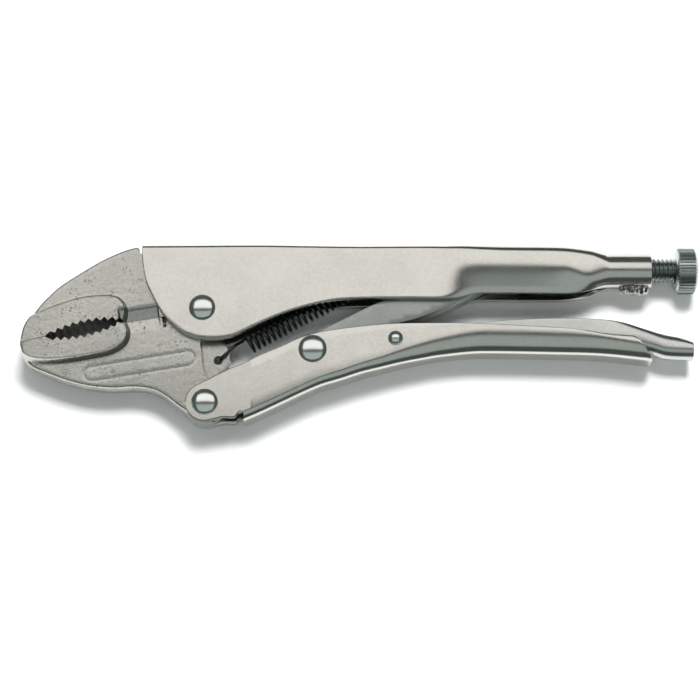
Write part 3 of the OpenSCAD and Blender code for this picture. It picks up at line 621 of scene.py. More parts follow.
def relief(name, outline, height, creases=(), floor=None, grid=1.3, wall=None, wall_rows=6, holes=(),
           rows=()):
    """outline: a closed loop. rows: loose points that the faces' slopes need.
    height(points): half the thickness. floor(points): the lower face, or else it mirrors the upper one.
    wall(points, f): how far a side wall stands out at f from -1 (lower face) to 1 (upper face)."""
    loop = np.array(outline, float)
    verts, edges = [tuple(p) for p in loop], [(i, (i + 1) % len(loop)) for i in range(len(loop))]
    for hole in holes:
        start = len(verts)
        verts += [tuple(p) for p in hole]
        edges += [(start + i, start + (i + 1) % len(hole)) for i in range(len(hole))]
    for line in creases:
        line = np.array(line, float)
        keep = inside(line, loop) & (distance(line, loop, True) > 0.08)
        start = None
        for p, ok in zip(line, keep):
            if not ok:
                start = None
                continue
            verts.append(tuple(p))
            if start is not None:
                edges.append((start, len(verts) - 1))
            start = len(verts) - 1
    if len(rows):
        loose = np.vstack(rows)
        loose = loose[inside(loose, loop)]
        verts += thinned(loose, np.array(verts), 0.14)
    low, high = loop.min(0), loop.max(0)
    gx, gy = np.meshgrid(np.arange(low[0], high[0], grid), np.arange(low[1], high[1], grid * 0.87))
    gx = gx + (np.arange(gx.shape[0]) % 2)[:, None] * grid / 2
    inner = np.stack([gx.ravel(), gy.ravel()], 1)
    fixed = np.array(verts)
    verts += thinned(inner[inside(inner, loop)], fixed, grid * 0.55)
    out, _, tris, *_ = geometry.delaunay_2d_cdt([Vector(v) for v in verts], edges, [], 0, 1e-5)
    xy = np.array([tuple(v) for v in out])
    centres = np.array([xy[list(t)].mean(0) for t in tris])
    keep = inside(centres, loop)
    for hole in holes:
        keep &= ~inside(centres, hole)
    tris = [t for t, ok in zip(tris, keep) if ok]
    upper = height(xy)
    lower = -upper if floor is None else floor(xy)
    # A rim edge belongs to one triangle only
    count = {}
    for t in tris:
        for a, b in ((t[0], t[1]), (t[1], t[2]), (t[2], t[0])):
            count.setdefault(frozenset((a, b)), []).append((a, b))
    rim = [v[0] for v in count.values() if len(v) == 1]
    n = len(xy)
    points = np.vstack([np.column_stack([xy, MID_Z + upper]), np.column_stack([xy, MID_Z + lower])])
    faces = [tuple(t) for t in tris] + [tuple(i + n for i in reversed(t)) for t in tris]
    rim_points = sorted({i for e in rim for i in e})
    normal = np.zeros((n, 2))
    for a, b in rim:
        d = xy[b] - xy[a]
        side = np.array([d[1], -d[0]]) / max(np.linalg.norm(d), 1e-9)
        normal[a] += side
        normal[b] += side
    normal /= np.maximum(np.linalg.norm(normal, axis=1), 1e-9)[:, None]
    rows = {i: [i] for i in rim_points}
    extra = []
    for k in range(1, wall_rows):
        f = 1 - 2 * k / wall_rows
        bulge = np.zeros(n) if wall is None else wall(xy, f)
        for i in rim_points:
            p = xy[i] + normal[i] * bulge[i]
            rows[i].append(2 * n + len(extra))
            extra.append((p[0], p[1], MID_Z + upper[i] + (lower[i] - upper[i]) * k / wall_rows))
    for i in rim_points:
        rows[i].append(i + n)
    for a, b in rim:
        for k in range(wall_rows):
            faces.append((rows[b][k], rows[a][k], rows[a][k + 1], rows[b][k + 1]))
    points = np.vstack([points, np.array(extra)]) if extra else points
    used = sorted({i for f in faces for i in f})
    renumber = {old: new for new, old in enumerate(used)}
    return new_mesh(name, points[used], [tuple(renumber[i] for i in f) for f in faces])


def rounded(d, radius):
    """How far a face drops near a rounded edge, at distance d from it."""
    d = np.clip(d, 0, radius)
    return radius - np.sqrt(np.maximum(radius ** 2 - (radius - d) ** 2, 0))


def ease(t):
    t = np.clip(t, 0, 1)
    return t * t * (3 - 2 * t)


# %% [markdown]
# ## The jaws
# The jaws are drop forged, then the pads and the teeth are ground and cut. The teeth sit on two arcs that
# leave an oval mouth for round work. Behind the pads both jaws are ground to a wire cutter.
# The raised pad has a sloping wall, and the forging's outer edge is soft and a little uneven.

# %% Teeth and outlines of the jaws
TOOTH_PITCH, TOOTH_DEPTH, TOOTH_COUNT = 2.95, 1.3, 9
JAW_GAP = 0.2


def tooth_row(centre, radius, start, way):
    points = []
    for i in range(2 * TOOTH_COUNT + 1):
        a = math.radians(start) + way * i * TOOTH_PITCH / 2 / radius
        r = radius - (TOOTH_DEPTH if i % 2 else 0)
        points.append((centre[0] + r * math.cos(a), centre[1] + r * math.sin(a)))
    return points


upper_teeth = tooth_row(spot(-33.5, -40.4), 46.3, 118.5, -1)
lower_teeth = tooth_row(spot(-52.5, 41.1), 44.3, -92.5, 1)
LIFT = np.array([0, JAW_GAP])
tip_seam = np.array(spots([(-66.5, -4), (-57.4, -1.7)]))
cutter_seam = np.array(spots([(-29, 4.3), (-9.6, 7.3)]))
LOBE_R = 9.0
JAW_EAR_R = 7.3
TONGUE_TOP = up(34.0) - SHEET - 0.15

upper_contour = smooth(spots([(-66.4, -1.5), (-65.6, 2.2), (-63.5, 6.3), (-59.8, 11.7), (-56.1, 15.7),
                              (-52.4, 19.1), (-45, 24.1), (-37.6, 28.7), (-30.2, 32.2), (-25.2, 33.8)]), 8)
upper_outline = np.vstack([
    [tip_seam[0] + LIFT], upper_contour, [spot(-24, 33), spot(-23.3, 31), (spot(-22, 0)[0], TONGUE_TOP)],
    [(spot(13, 0)[0], TONGUE_TOP), spot(13, 17)], arc(JAW_PIVOT, LOBE_R + 0.3, 40, 188),
    resampled([cutter_seam[1] + LIFT, cutter_seam[0] + LIFT], 1.0), upper_teeth[::-1], [tip_seam[1] + LIFT]])
upper_pad = smooth(spots([(-66.5, -0.8), (-65.8, 2.1), (-63.9, 5.2), (-59.8, 7.3), (-52.4, 10.4), (-45, 12.7),
                          (-37.6, 13.6), (-32.4, 13.2), (-29.7, 11.0), (-28.9, 8.2), (-29.6, 4.6)]), 8)
upper_pad_loop = np.vstack([[spot(-70, -3.5)], upper_pad, [spot(-31, 3)], [spot(-45, -6)], [spot(-60, -9)]])

lower_contour = smooth(spots([(-66.3, -5.6), (-65.3, -8.7), (-62.4, -12.2), (-56.1, -15), (-48.7, -17.7),
                              (-41.3, -19.5), (-33, -20.3), (-22.8, -20), (-15.4, -21.9), (-8, -27.2),
                              (-5.4, -28.9)]), 8)
step_line = smooth(spots([(4, -19), (1.8, -16), (0.4, -12), (-0.2, -7), (-0.4, -2.2), (4, 1.4)]), 8)
lower_outline = np.vstack([
    [tip_seam[0]], lower_contour, arc(HANDLE_PIVOT, JAW_EAR_R, 215, 395),
    [spot(4.8, -19.0)],
    smooth(spots([(7, -15.5), (9.8, -12.3), (10.5, -9), (9.6, -5), (8, -1.4), (6.4, 1.0)]), 8),
    arc(JAW_PIVOT, LOBE_R, -44, 194), resampled([cutter_seam[1], cutter_seam[0]], 1.0),
    lower_teeth[::-1], [tip_seam[1]]])
web_loop = np.vstack([step_line[::-1], [spot(4, -40)], [spot(-80, -40)], [spot(-80, 20)], [spot(20, 20)],
                      [spot(20, 1.4)]])
lower_pad = smooth(spots([(-66.5, -5.2), (-65.8, -6.9), (-62.4, -9.2), (-56.1, -10), (-48.7, -9.4),
                          (-41.3, -8.2), (-33.9, -6.5), (-29.1, -3.6), (-27.8, 0.2), (-29, 3.4),
                          (-30.8, 4.6)]), 8)
lower_pad_loop = np.vstack([[spot(-70, -4)], lower_pad, [spot(-34, 7)], [spot(-50, 5)], [spot(-60, 2)]])
print("teeth", len(upper_teeth), "mouth", np.round(upper_teeth[8], 1), np.round(lower_teeth[8], 1))

# %% [markdown]
# The cutter is a shallow recess ground into each face beside the seam, with a sloping back wall.
# On the lower jaw the outline of a blank panel, shaped like a slot, is pressed in as a shallow groove where
# such tools carry a mark.

# %% Reliefs of the jaws
SEAM_WAY = (cutter_seam[1] - cutter_seam[0]) / np.linalg.norm(cutter_seam[1] - cutter_seam[0])
SEAM_UP = np.array([-SEAM_WAY[1], SEAM_WAY[0]])
PAD_WALL = 1.5
CUTTER_LEN = 13.6
FORGED_EDGE = 1.0
panel_from, panel_to = np.array(spot(-40.2, -14.9)), np.array(spot(-5.3, -9.0))
PANEL_R = 2.7


def cutter_height(points, side, flat, slope, depth):
    """How deep the cutter's recess is: flat beside the seam, then rising over the slope."""
    from_seam = ((points - cutter_seam[0]) @ SEAM_UP) * side
    length = (points - cutter_seam[0]) @ SEAM_WAY
    within = ease((length + 1.6) / 1.0) * ease((CUTTER_LEN - length) / 0.8)
    tilt = 0.6 + 0.4 * ease((flat - from_seam) / flat)
    return depth * within * (1 - ease((from_seam - flat) / slope)) * tilt


def pad_height(points, loop, contour):
    into = signed(points, loop)
    raised = (PAD - WEB) * ease(1 + into / PAD_WALL)
    top_edge = np.where(into > 0, rounded(into, 0.35), 0)
    outer = rounded(distance(points, contour), FORGED_EDGE)
    return WEB + raised - 0.4 * top_edge - outer


def upper_height(points):
    return pad_height(points, upper_pad_loop, upper_contour) - cutter_height(points, 1, 3.6, 2.0, 1.5)


def slot_distance(points):
    """Distance to the slot-shaped line of the panel."""
    d = panel_to - panel_from
    t = np.clip(((points - panel_from) @ d) / (d @ d), 0, 1)
    return np.abs(np.linalg.norm(points - panel_from - t[:, None] * d, axis=1) - PANEL_R)


def lower_height(points):
    base = pad_height(points, lower_pad_loop, lower_contour)
    base -= cutter_height(points, -1, 2.4, 1.8, 0.3)
    base -= 0.13 * (1 - ease(slot_distance(points) / 0.42))
    slit = ((points - cutter_seam[0]) @ SEAM_WAY - CUTTER_LEN - 1.2)
    down = -((points - cutter_seam[0]) @ SEAM_UP)
    base -= 1.4 * (1 - ease(np.abs(slit) / 0.55)) * (1 - ease((down - 3.6) / 0.8))
    to_web = signed(points, web_loop)
    lobe = np.linalg.norm(points - JAW_PIVOT[:2], axis=1) < LOBE_R + 0.01
    ear = EAR + (base - EAR) * ease((to_web + 0.6) / 0.6)
    ear -= np.where(to_web < -1, rounded(distance(points, lower_outline, True), 0.35), 0)
    return np.where(lobe, base, ear)


EAR = 1.7
ear_hole = arc(spot(5.9, -9.2), 1.72, 0, 345, 23)


def slot_loop(grow, steps=14):
    way = math.degrees(math.atan2(*(panel_to - panel_from)[::-1]))
    return np.vstack([arc(panel_to, PANEL_R + grow, way - 90, way + 90, steps),
                      arc(panel_from, PANEL_R + grow, way + 90, way + 270, steps)])


def closed(loop, gap=0.8):
    return resampled(np.vstack([loop, loop[:1]]), gap)


def seam_line(side, away, start=-1.5, end=CUTTER_LEN + 0.6):
    a = cutter_seam[0] + SEAM_UP * side * away
    return resampled([a + SEAM_WAY * start, a + SEAM_WAY * end], 0.7)


FLASH, FLASH_DRAFT = 0.34, 0.12


def flash(points, f):
    """The forging's parting ridge runs round the middle of its outer wall, unevenly trimmed."""
    on_contour = np.minimum(distance(points, upper_contour), distance(points, lower_contour)) < 0.05
    x, y = points[:, 0], points[:, 1]
    trimmed = 0.8 + 0.25 * np.sin(1.9 * x + 0.6 * y) * np.sin(2.7 * y - 0.9 * x)
    ridge = np.where(on_contour, (FLASH * (1 - abs(f)) ** 1.5 + FLASH_DRAFT * (1 - abs(f))) * trimmed, 0)
    return np.minimum(ridge, np.minimum(x - cad_low[0] / MM, y - cad_low[1] / MM))


PAD_ROWS = np.arange(-0.5, PAD_WALL + 0.11, 0.16)
EDGE_ROWS = (0.06, 0.16, 0.3, 0.5, 0.78, 1.1)
upper_rows = [rows_beside(upper_pad, PAD_ROWS), rows_beside(upper_contour, [-d for d in EDGE_ROWS]),
              rows_beside(seam_line(1, 0), np.arange(0.3, 6.2, 0.45)),
              np.vstack([seam_line(1, d)[:1] for d in np.arange(0, 6, 0.3)])]
upper_jaw = relief("upper_jaw_forging", upper_outline, upper_height, grid=0.9, wall=flash, rows=upper_rows)
finish_piece(upper_jaw, "fixed_frame", JAW_METAL, ["upper_jaw"])

lower_rows = [rows_beside(lower_pad, -PAD_ROWS), rows_beside(lower_contour, EDGE_ROWS),
              rows_beside(closed(slot_loop(0)), np.arange(-0.48, 0.5, 0.12)),
              rows_beside(step_line, np.arange(-0.9, 0.31, 0.15)),
              rows_beside(seam_line(-1, 0), -np.arange(0.3, 5.4, 0.35))]
# The CAD's arc is a polygon, so the round outline stays a hair inside its box
lower_outline = np.maximum(lower_outline, np.array(cad_low)[:2] / MM)
lower_jaw = relief("lower_jaw_forging", lower_outline, lower_height, grid=0.9, wall=flash, holes=[ear_hole],
                   rows=lower_rows)
finish_piece(lower_jaw, "jaw", JAW_METAL, ["lower_jaw"])

# %% [markdown]
# ## Lower handle
# Its blank is folded into a channel that opens towards the upper handle. The two plates run on in front of
# the fold to make the ears round the jaw's rivet, and behind the middle the channel turns into
# a half-round trough whose end is cut off at a slant.

# %% Stations of the lower handle
TROUGH = PLATE_OUT + 0.9
FOLD_FRONT = spot(15.7, 0)[0]
lower_rim = placed([(10.2, -13.6), (14.2, -12.1), (21.6, -8.4), (29.1, -5.2), (36.5, -1.7), (43.9, 0.4),
                    (55, 2.1), (69.8, 3.5), (88.3, 3.8), (103.1, 3.3), (118, 2.5), (136.5, 1.5),
                    (147.6, 0.5), (155, -0.4), (166.5, -1.3)])
lower_back = placed([(15.7, -32.8), (21.6, -30.2), (29.1, -26.6), (36.5, -23), (43.9, -19.7), (51.3, -17.4),
                     (58.7, -14.9), (66.1, -13), (73.5, -11.1), (80.9, -9.6), (88.3, -8.3), (103.1, -7.1),
                     (129, -7.5), (147.6, -8.1), (166.5, -10.2)])
lower_half = drawn([(-9, PLATE_OUT), (84, PLATE_OUT), (106, TROUGH), (166.5, TROUGH)])
lower_fold = drawn([(-9, 2.6), (70, 2.8), (104, 3.8), (166.5, 3.8)])
# In the trough the fold is an oval, taller than it is wide
lower_tall = drawn([(-9, 3.4), (60, 3.8), (84, 6.5), (106, 8.3), (140, 8.0), (166.5, 6.6)])
lower_rim_half = drawn([(-9, PLATE_OUT), (84, PLATE_OUT), (106, TROUGH), (166.5, TROUGH - 0.3)])
level = drawn([(-9, 0), (166.5, 0)])
lower_low = drawn([(-9, 0.5), (166.5, 0.5)])
lower_sheet = drawn([(-9, SHEET), (166.5, SHEET)])
lower_lists = (lower_back, lower_half, lower_fold, lower_rim_half, level, lower_low, lower_sheet)
slant = smooth(spots([(156.5, 0.4), (158.6, -1.2), (161.3, -3.6), (163.4, -6.9), (165.7, -10.5)]), 8)
END_X = spot(165.7, 0)[0]
LEAN_FROM = spot(128, 0)[0]


def end_lean(x):
    share = float(ease((x - LEAN_FROM) / (END_X - LEAN_FROM)))
    return lambda y: share * (np.interp(-y, -slant[:, 1], slant[:, 0]) - END_X)


lower_rings = []
for x in np.r_[np.linspace(FOLD_FRONT, END_X, 118)]:
    lower_rings.append(section_at(x, *lower_lists) | {
        "rim": along(lower_rim, x), "lean": end_lean(x), "tall": along(lower_tall, x)})
trough = folded_sheet("lower_handle_sheet", lower_rings, flip=-1, side_steps=5)
print("slanted end at", END_X)

# %% [markdown]
# The ears are two flat plates that carry on from the channel without a step. Their outer edge is an arc
# round the rivet. They are cut as reliefs and joined to the channel, so the handle stays one piece.

# %% Ears of the lower handle
NOTCH_Y = spot(0, -29.6)[1]
HANDLE_EAR_R = 7.1
ear_top = resampled(np.vstack([arc(HANDLE_PIVOT, HANDLE_EAR_R, 180, 117)[-1:],
                               [spot(10.2, -13.6)], [spot(14.2, -12.1)],
                               [(FOLD_FRONT, along(lower_rim, FOLD_FRONT))]]), 0.9)
ear_cut = np.vstack([ear_top[::-1], arc(HANDLE_PIVOT, HANDLE_EAR_R, 119, 268),
                     smooth(spots([(3.4, -32.9), (5.8, -32.3), (8.3, -31.7), (11.0, -31.9), (12.6, -31.6),
                                   (13.6, -30.3)]), 5)])
ear_loop = np.vstack([resampled([(FOLD_FRONT, NOTCH_Y), (FOLD_FRONT, ear_top[-1][1] - 0.35)], 1.5), ear_cut])


def ear_upper(points):
    return PLATE_OUT - rounded(distance(points, ear_cut), 0.3)


def ear_lower(points):
    return PLATE_IN + rounded(distance(points, ear_cut), 0.2)


def mirrored_copy(piece):
    """The same piece on the far side of the mid-plane."""
    mesh = piece.data.copy()
    for v in mesh.vertices:
        v.co.z = 2 * MID_Z * MM - v.co.z
    mesh.flip_normals()
    other = bpy.data.objects.new(piece.name + "_far", mesh)
    bpy.context.scene.collection.objects.link(other)
    return other


def join(name, pieces):
    bm = bmesh.new()
    for piece in pieces:
        bm.from_mesh(piece.data)
        bpy.data.objects.remove(piece)
    mesh = bpy.data.meshes.new(name)
    bm.to_mesh(mesh)
    bm.free()
    joined = bpy.data.objects.new(name, mesh)
    bpy.context.scene.collection.objects.link(joined)
    return joined


JOINT_WIDTH = 2
near_ear = relief("ear_plate", ear_loop, ear_upper, [offset(ear_cut, 0.3)], floor=ear_lower, grid=1.6,
                  wall_rows=2)
round_edges(trough, 0.25, keep=lambda x: x < FOLD_FRONT + 0.01)
lower_handle = join("lower_handle_sheet", [trough, near_ear, mirrored_copy(near_ear)])
finish_piece(lower_handle, "handle", HANDLE_METAL, ["lower_handle"])
# The plates meet the ears in one plane, so the faces beside that joint are shaded flat
for face in lower_handle.data.polygons:
    levels = [abs(lower_handle.data.vertices[v].co.z / MM - MID_Z) for v in face.vertices]
    if face.center.x / MM < FOLD_FRONT + JOINT_WIDTH and min(levels) > PLATE_OUT - 0.01:
        face.use_smooth = False

# %% [markdown]
# ## Release lever
# A thinner sheet, folded like a small handle, that lies in the lower handle. Its rims curl in towards
# the tail until they nearly meet, so the tail is a tube with an open seam.

# %% The release lever
LEVER = PLATE_IN - 0.4
LEVER_SHEET = 1.5
lever_back = placed([(66.6, -4.8), (71, -6), (80.5, -4.6), (88.5, -3.6), (102.5, -2.9), (113.5, -2.8),
                     (128.5, -3.2), (147.6, -3.9), (158, -5.2), (165.5, -6.8), (169.8, -8.2), (173.5, -8.6),
                     (180.9, -8.8)])
lever_rim = placed([(66.6, 0.6), (71, 2.6), (78.5, 3.3), (90, 3.7), (100.5, 4.5), (113.5, 5.6), (123.5, 6.1),
                    (132.8, 6.3), (147.6, 5.9), (155, 4.9), (162.4, 2.7), (169.8, 0.6), (177.2, -0.9),
                    (180.9, -2.2)])
lever_lists = (
    lever_back, drawn([(66.6, LEVER), (120, LEVER), (160, LEVER - 0.1), (180.9, 3.9)]),
    drawn([(66.6, 1.6), (90, 1.9), (120, 3), (150, 3.6), (180.9, 3.7)]),
    drawn([(66.6, LEVER), (140, LEVER), (160, 3.4), (170, 2.1), (180.9, 1.9)]),
    drawn([(66.6, 0), (140, 0), (165, 0.3), (180.9, 0.2)]),
    drawn([(66.6, 0.5), (140, 0.5), (170, 0.98), (180.9, 0.98)]),
    drawn([(66.6, LEVER_SHEET), (180.9, LEVER_SHEET)]))
lever_rings = []
for x in np.linspace(spot(66.6, 0)[0], spot(180.9, 0)[0], 100):
    lever_rings.append(section_at(x, *lever_lists) | {"rim": along(lever_rim, x)})
lever = folded_sheet("release_lever_sheet", lever_rings, flip=-1, side_steps=8)
round_edges(lever, 0.2)
finish_piece(lever, "lever", LEVER_METAL, ["release_lever"])

# %% [markdown]
# ## Toggle link
# A plain forged bar from the lower handle's rivet up into the upper handle, with its edges broken.

# %% The toggle link and the spring's anchor
LINK = 4.3
LINK_END_R = 3.6
link_end = (spot(117.9, 0)[0] - LINK_END_R, SCREW_Y - 0.6)
link_outline = np.vstack([
    arc(LINK_PIVOT, 6.6, 110, 300),
    smooth(spots([(48, -9.4), (56, -4.6), (64, 0.9), (71, 3.9), (79.1, 6.1), (88.3, 9.6), (95.7, 13),
                  (104, 17.5), (110, 20.6)]), 6),
    arc(link_end, LINK_END_R, -60, 100),
    smooth(spots([(103, 27), (90, 22.5), (76, 17), (62.4, 11.4), (55, 7.7), (47.6, 3.9), (42, 1)]), 6)])


def link_height(points):
    return LINK - rounded(distance(points, link_outline, True), 0.45)


link = relief("toggle_link_bar", link_outline, link_height,
              [offset(closed(link_outline, 0.9), 0.15), offset(closed(link_outline, 0.9), 0.45)], grid=2.0)
finish_piece(link, "link", LINK_METAL, ["toggle_link"])

anchor_low, anchor_high = box_mm("spring_anchor")
anchor_x = (anchor_low[0] + anchor_high[0]) / 2
spring_end = np.array(spot(63, 22.6))
anchor_loop = [spring_end + (-2.6, -3), spring_end + (2.6, -3), spring_end + (3.4, 0),
               (anchor_x + 5, anchor_high[1]), (anchor_x - 5, anchor_high[1]), spring_end + (-3.4, 0)]
anchor_hole = arc(spring_end, 1.35, 0, 330, 11)
anchor = relief("spring_anchor_lug", anchor_loop, lambda p: np.full(len(p), 0.9), grid=1.0, wall_rows=1,
                holes=[anchor_hole])
finish_piece(anchor, "fixed_frame", LINK_METAL, ["spring_anchor"])

# %% [markdown]
# ## Geometry Nodes
# What repeats or follows a path is grown by node trees: the spring's wire, the screw's thread,
# the knob's ridges and the rivets. Each tree has named inputs, and its result is kept as a plain mesh.

# %% Helpers for node trees
def node_tree(name, inputs):
    tree = bpy.data.node_groups.new(name, "GeometryNodeTree")
    tree.is_modifier = True
    tree.interface.new_socket("Geometry", in_out="INPUT", socket_type="NodeSocketGeometry")
    for label, kind in inputs.items():
        tree.interface.new_socket(label, in_out="INPUT", socket_type="NodeSocket" + kind)
    tree.interface.new_socket("Geometry", in_out="OUTPUT", socket_type="NodeSocketGeometry")
    return tree, tree.nodes.new("NodeGroupInput").outputs, tree.nodes.new("NodeGroupOutput")


def gn_math(tree, operation, a, b=0.0):
    return add(tree, "ShaderNodeMath", {0: a, 1: b}, operation=operation).outputs[0]


def end_tree(tree, result, material_input, output):
    real = add(tree, "GeometryNodeRealizeInstances", {0: result}).outputs[0]
    painted = add(tree, "GeometryNodeSetMaterial", {"Geometry": real, "Material": material_input}).outputs[0]
    tree.links.new(painted, output.inputs[0])


def grown(name, base, tree, values):
    """Runs a tree on a base object and keeps the result as a plain mesh."""
    modifier = base.modifiers.new("grow", "NODES")
    modifier.node_group = tree
    for item in tree.interface.items_tree:
        if item.item_type == "SOCKET" and item.in_out == "INPUT" and item.name in values:
            modifier[item.identifier] = values[item.name]
    depsgraph = bpy.context.evaluated_depsgraph_get()
    depsgraph.update()
    mesh = bpy.data.meshes.new_from_object(base.evaluated_get(depsgraph))
    bpy.data.objects.remove(base)
    piece = bpy.data.objects.new(name, mesh)
    bpy.context.scene.collection.objects.link(piece)
    bm = bmesh.new()
    bm.from_mesh(mesh)
    bmesh.ops.remove_doubles(bm, verts=bm.verts, dist=1e-7)
    bmesh.ops.recalc_face_normals(bm, faces=bm.faces)
    bm.to_mesh(mesh)
    bm.free()
    return piece


def empty_mesh(name):
    base = bpy.data.objects.new(name, bpy.data.meshes.new(name))
    bpy.context.scene.collection.objects.link(base)
    return base


# %% [markdown]
# ### Spring
# An extension spring: a close coil with a hook at each end. The wire's path is one curve,
# and the tree sweeps a round wire along it.

# %% Spring
wire_tree, wire_in, wire_out = node_tree("Wire", {"Wire Radius": "Float", "Sides": "Int",
                                                  "Material": "Material"})
wire_round = add(wire_tree, "GeometryNodeCurvePrimitiveCircle", {"Resolution": wire_in["Sides"],
                                                                 "Radius": wire_in["Wire Radius"]})
swept = add(wire_tree, "GeometryNodeCurveToMesh", {"Curve": wire_in["Geometry"],
                                                   "Profile Curve": wire_round.outputs["Curve"],
                                                   "Fill Caps": True})
end_tree(wire_tree, swept.outputs[0], wire_in["Material"], wire_out)

SPRING_HOLE = np.array(spot(5.9, -9.2))
SPRING_WAY = (spring_end - SPRING_HOLE) / np.linalg.norm(spring_end - SPRING_HOLE)
SPRING_SIDE = np.array([-SPRING_WAY[1], SPRING_WAY[0]])
SPRING_LEN = float(np.linalg.norm(spring_end - SPRING_HOLE))
WIRE_D, COIL_R, TURNS = 1.1, 3.05, 19
COIL_FROM, COIL_TO = 12.5, SPRING_LEN - 11
ear_seat, anchor_seat = 1.05, SPRING_LEN - 0.65
turn = np.linspace(0, 2 * math.pi * TURNS, TURNS * 28)
coil = np.stack([np.linspace(COIL_FROM, COIL_TO, len(turn)), COIL_R * np.cos(turn), COIL_R * np.sin(turn)], 1)
front_hook = [(ear_seat + 2.6, 0, -3.2), (ear_seat + 0.9, 0, -3), (ear_seat + 0.1, 0, -2.2), (ear_seat, 0, 0),
              (ear_seat + 0.1, 0, 2.2), (ear_seat + 0.9, 0.1, 3.1), (ear_seat + 3, 0.5, 3.4),
              (ear_seat + 7, 1.6, 2.8), (COIL_FROM - 0.9, 2.7, -0.9), tuple(coil[0])]
rear_hook = [tuple(coil[-1]), (COIL_TO + 0.9, 2.7, 0.9), (COIL_TO + 3.4, 1.4, 2.7),
             (anchor_seat - 3, 0.4, 2.6), (anchor_seat - 0.9, 0, 2.3), (anchor_seat - 0.1, 0, 1.6),
             (anchor_seat, 0, 0),
             (anchor_seat - 0.1, 0, -1.6), (anchor_seat - 0.9, 0, -2.3), (anchor_seat - 2.4, 0, -2.5)]


def smooth3(points, steps=6):
    p = np.array(points, float)
    return np.column_stack([smooth(p[:, :2], steps), smooth(p[:, 1:], steps)[:, 1]])


path = np.vstack([smooth3(front_hook)[:-1], coil, smooth3(rear_hook)[1:]])
centre_line = (np.outer(path[:, 0], [*SPRING_WAY, 0]) + np.outer(path[:, 1], [*SPRING_SIDE, 0])
               + np.outer(path[:, 2], [0, 0, 1]) + [*SPRING_HOLE, MID_Z])
curve = bpy.data.curves.new("spring_path", "CURVE")
curve.dimensions = "3D"
line = curve.splines.new("POLY")
line.points.add(len(centre_line) - 1)
for point, place in zip(line.points, centre_line * MM):
    point.co = (*place, 1.0)
spring_base = bpy.data.objects.new("spring_path", curve)
bpy.context.scene.collection.objects.link(spring_base)
spring = grown("jaw_spring_wire", spring_base, wire_tree,
               {"Wire Radius": WIRE_D / 2 * MM, "Sides": 12, "Material": SPRING_METAL})
finish_piece(spring, "fixed_frame", SPRING_METAL, ["jaw_spring"])
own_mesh(spring)

# %% [markdown]
# ### Adjusting screw
# The thread is a height on a cylinder: the radius depends on how far a point is along the screw
# and how far round it is. The tree bends a flat grid into that cylinder and pulls its two ends shut.

# %% Adjusting screw
thread_tree, thread_in, thread_out = node_tree("Thread", {
    "Length": "Float", "Pitch": "Float", "Root Radius": "Float", "Depth": "Float", "Along": "Int",
    "Round": "Int", "Material": "Material"})
sheet_grid = add(thread_tree, "GeometryNodeMeshGrid", {"Size X": thread_in["Length"], "Size Y": 1.0,
                                                       "Vertices X": thread_in["Along"],
                                                       "Vertices Y": thread_in["Round"]})
position = add(thread_tree, "GeometryNodeInputPosition").outputs[0]
place = add(thread_tree, "ShaderNodeSeparateXYZ", {0: position})
turns_along = gn_math(thread_tree, "DIVIDE", place.outputs["X"], thread_in["Pitch"])
phase = gn_math(thread_tree, "SUBTRACT", turns_along, place.outputs["Y"])
flank = gn_math(thread_tree, "PINGPONG", phase, 0.5)
profile = add(thread_tree, "ShaderNodeMapRange", {"Value": flank, "From Min": 0.09,
                                                  "From Max": 0.42}).outputs[0]
radius = gn_math(thread_tree, "MULTIPLY_ADD", profile, thread_in["Depth"])
thread_tree.links.new(thread_in["Root Radius"], radius.node.inputs[2])
half_length = gn_math(thread_tree, "MULTIPLY", thread_in["Length"], 0.49999)
at_end = gn_math(thread_tree, "LESS_THAN", gn_math(thread_tree, "ABSOLUTE", place.outputs["X"]), half_length)
radius = gn_math(thread_tree, "MULTIPLY", radius, at_end)
turned = gn_math(thread_tree, "MULTIPLY", place.outputs["Y"], 2 * math.pi)
bent = add(thread_tree, "ShaderNodeCombineXYZ", {
    "X": place.outputs["X"],
    "Y": gn_math(thread_tree, "MULTIPLY", radius, gn_math(thread_tree, "COSINE", turned)),
    "Z": gn_math(thread_tree, "MULTIPLY", radius, gn_math(thread_tree, "SINE", turned))})
moved_grid = add(thread_tree, "GeometryNodeSetPosition", {"Geometry": sheet_grid.outputs["Mesh"],
                                                          "Position": bent.outputs[0]})
merged = add(thread_tree, "GeometryNodeMergeByDistance", {"Geometry": moved_grid.outputs[0],
                                                          "Distance": 1e-7})
end_tree(thread_tree, merged.outputs[0], thread_in["Material"], thread_out)

THREAD_PITCH, THREAD_DEPTH = 1.6, 0.9
screw_length = KNOB_LOW[0] - SCREW_LOW[0] + 0.5
screw = grown("adjusting_screw_thread", empty_mesh("screw_base"), thread_tree, {
    "Length": screw_length * MM, "Pitch": THREAD_PITCH * MM, "Root Radius": (SCREW_R - THREAD_DEPTH) * MM,
    "Depth": THREAD_DEPTH * MM, "Along": int(screw_length / THREAD_PITCH * 12), "Round": 49,
    "Material": THREAD_METAL})
for v in screw.data.vertices:
    v.co += Vector(((SCREW_LOW[0] + screw_length / 2) * MM, SCREW_Y * MM, MID_Z * MM))
finish_piece(screw, "screw", THREAD_METAL, ["adjusting_screw"])

# %% [markdown]
# ### Knob
# The knob is turned, then straight ridges are rolled into its rim. The body is a turned profile,
# and the tree sets one ridge after another round it.

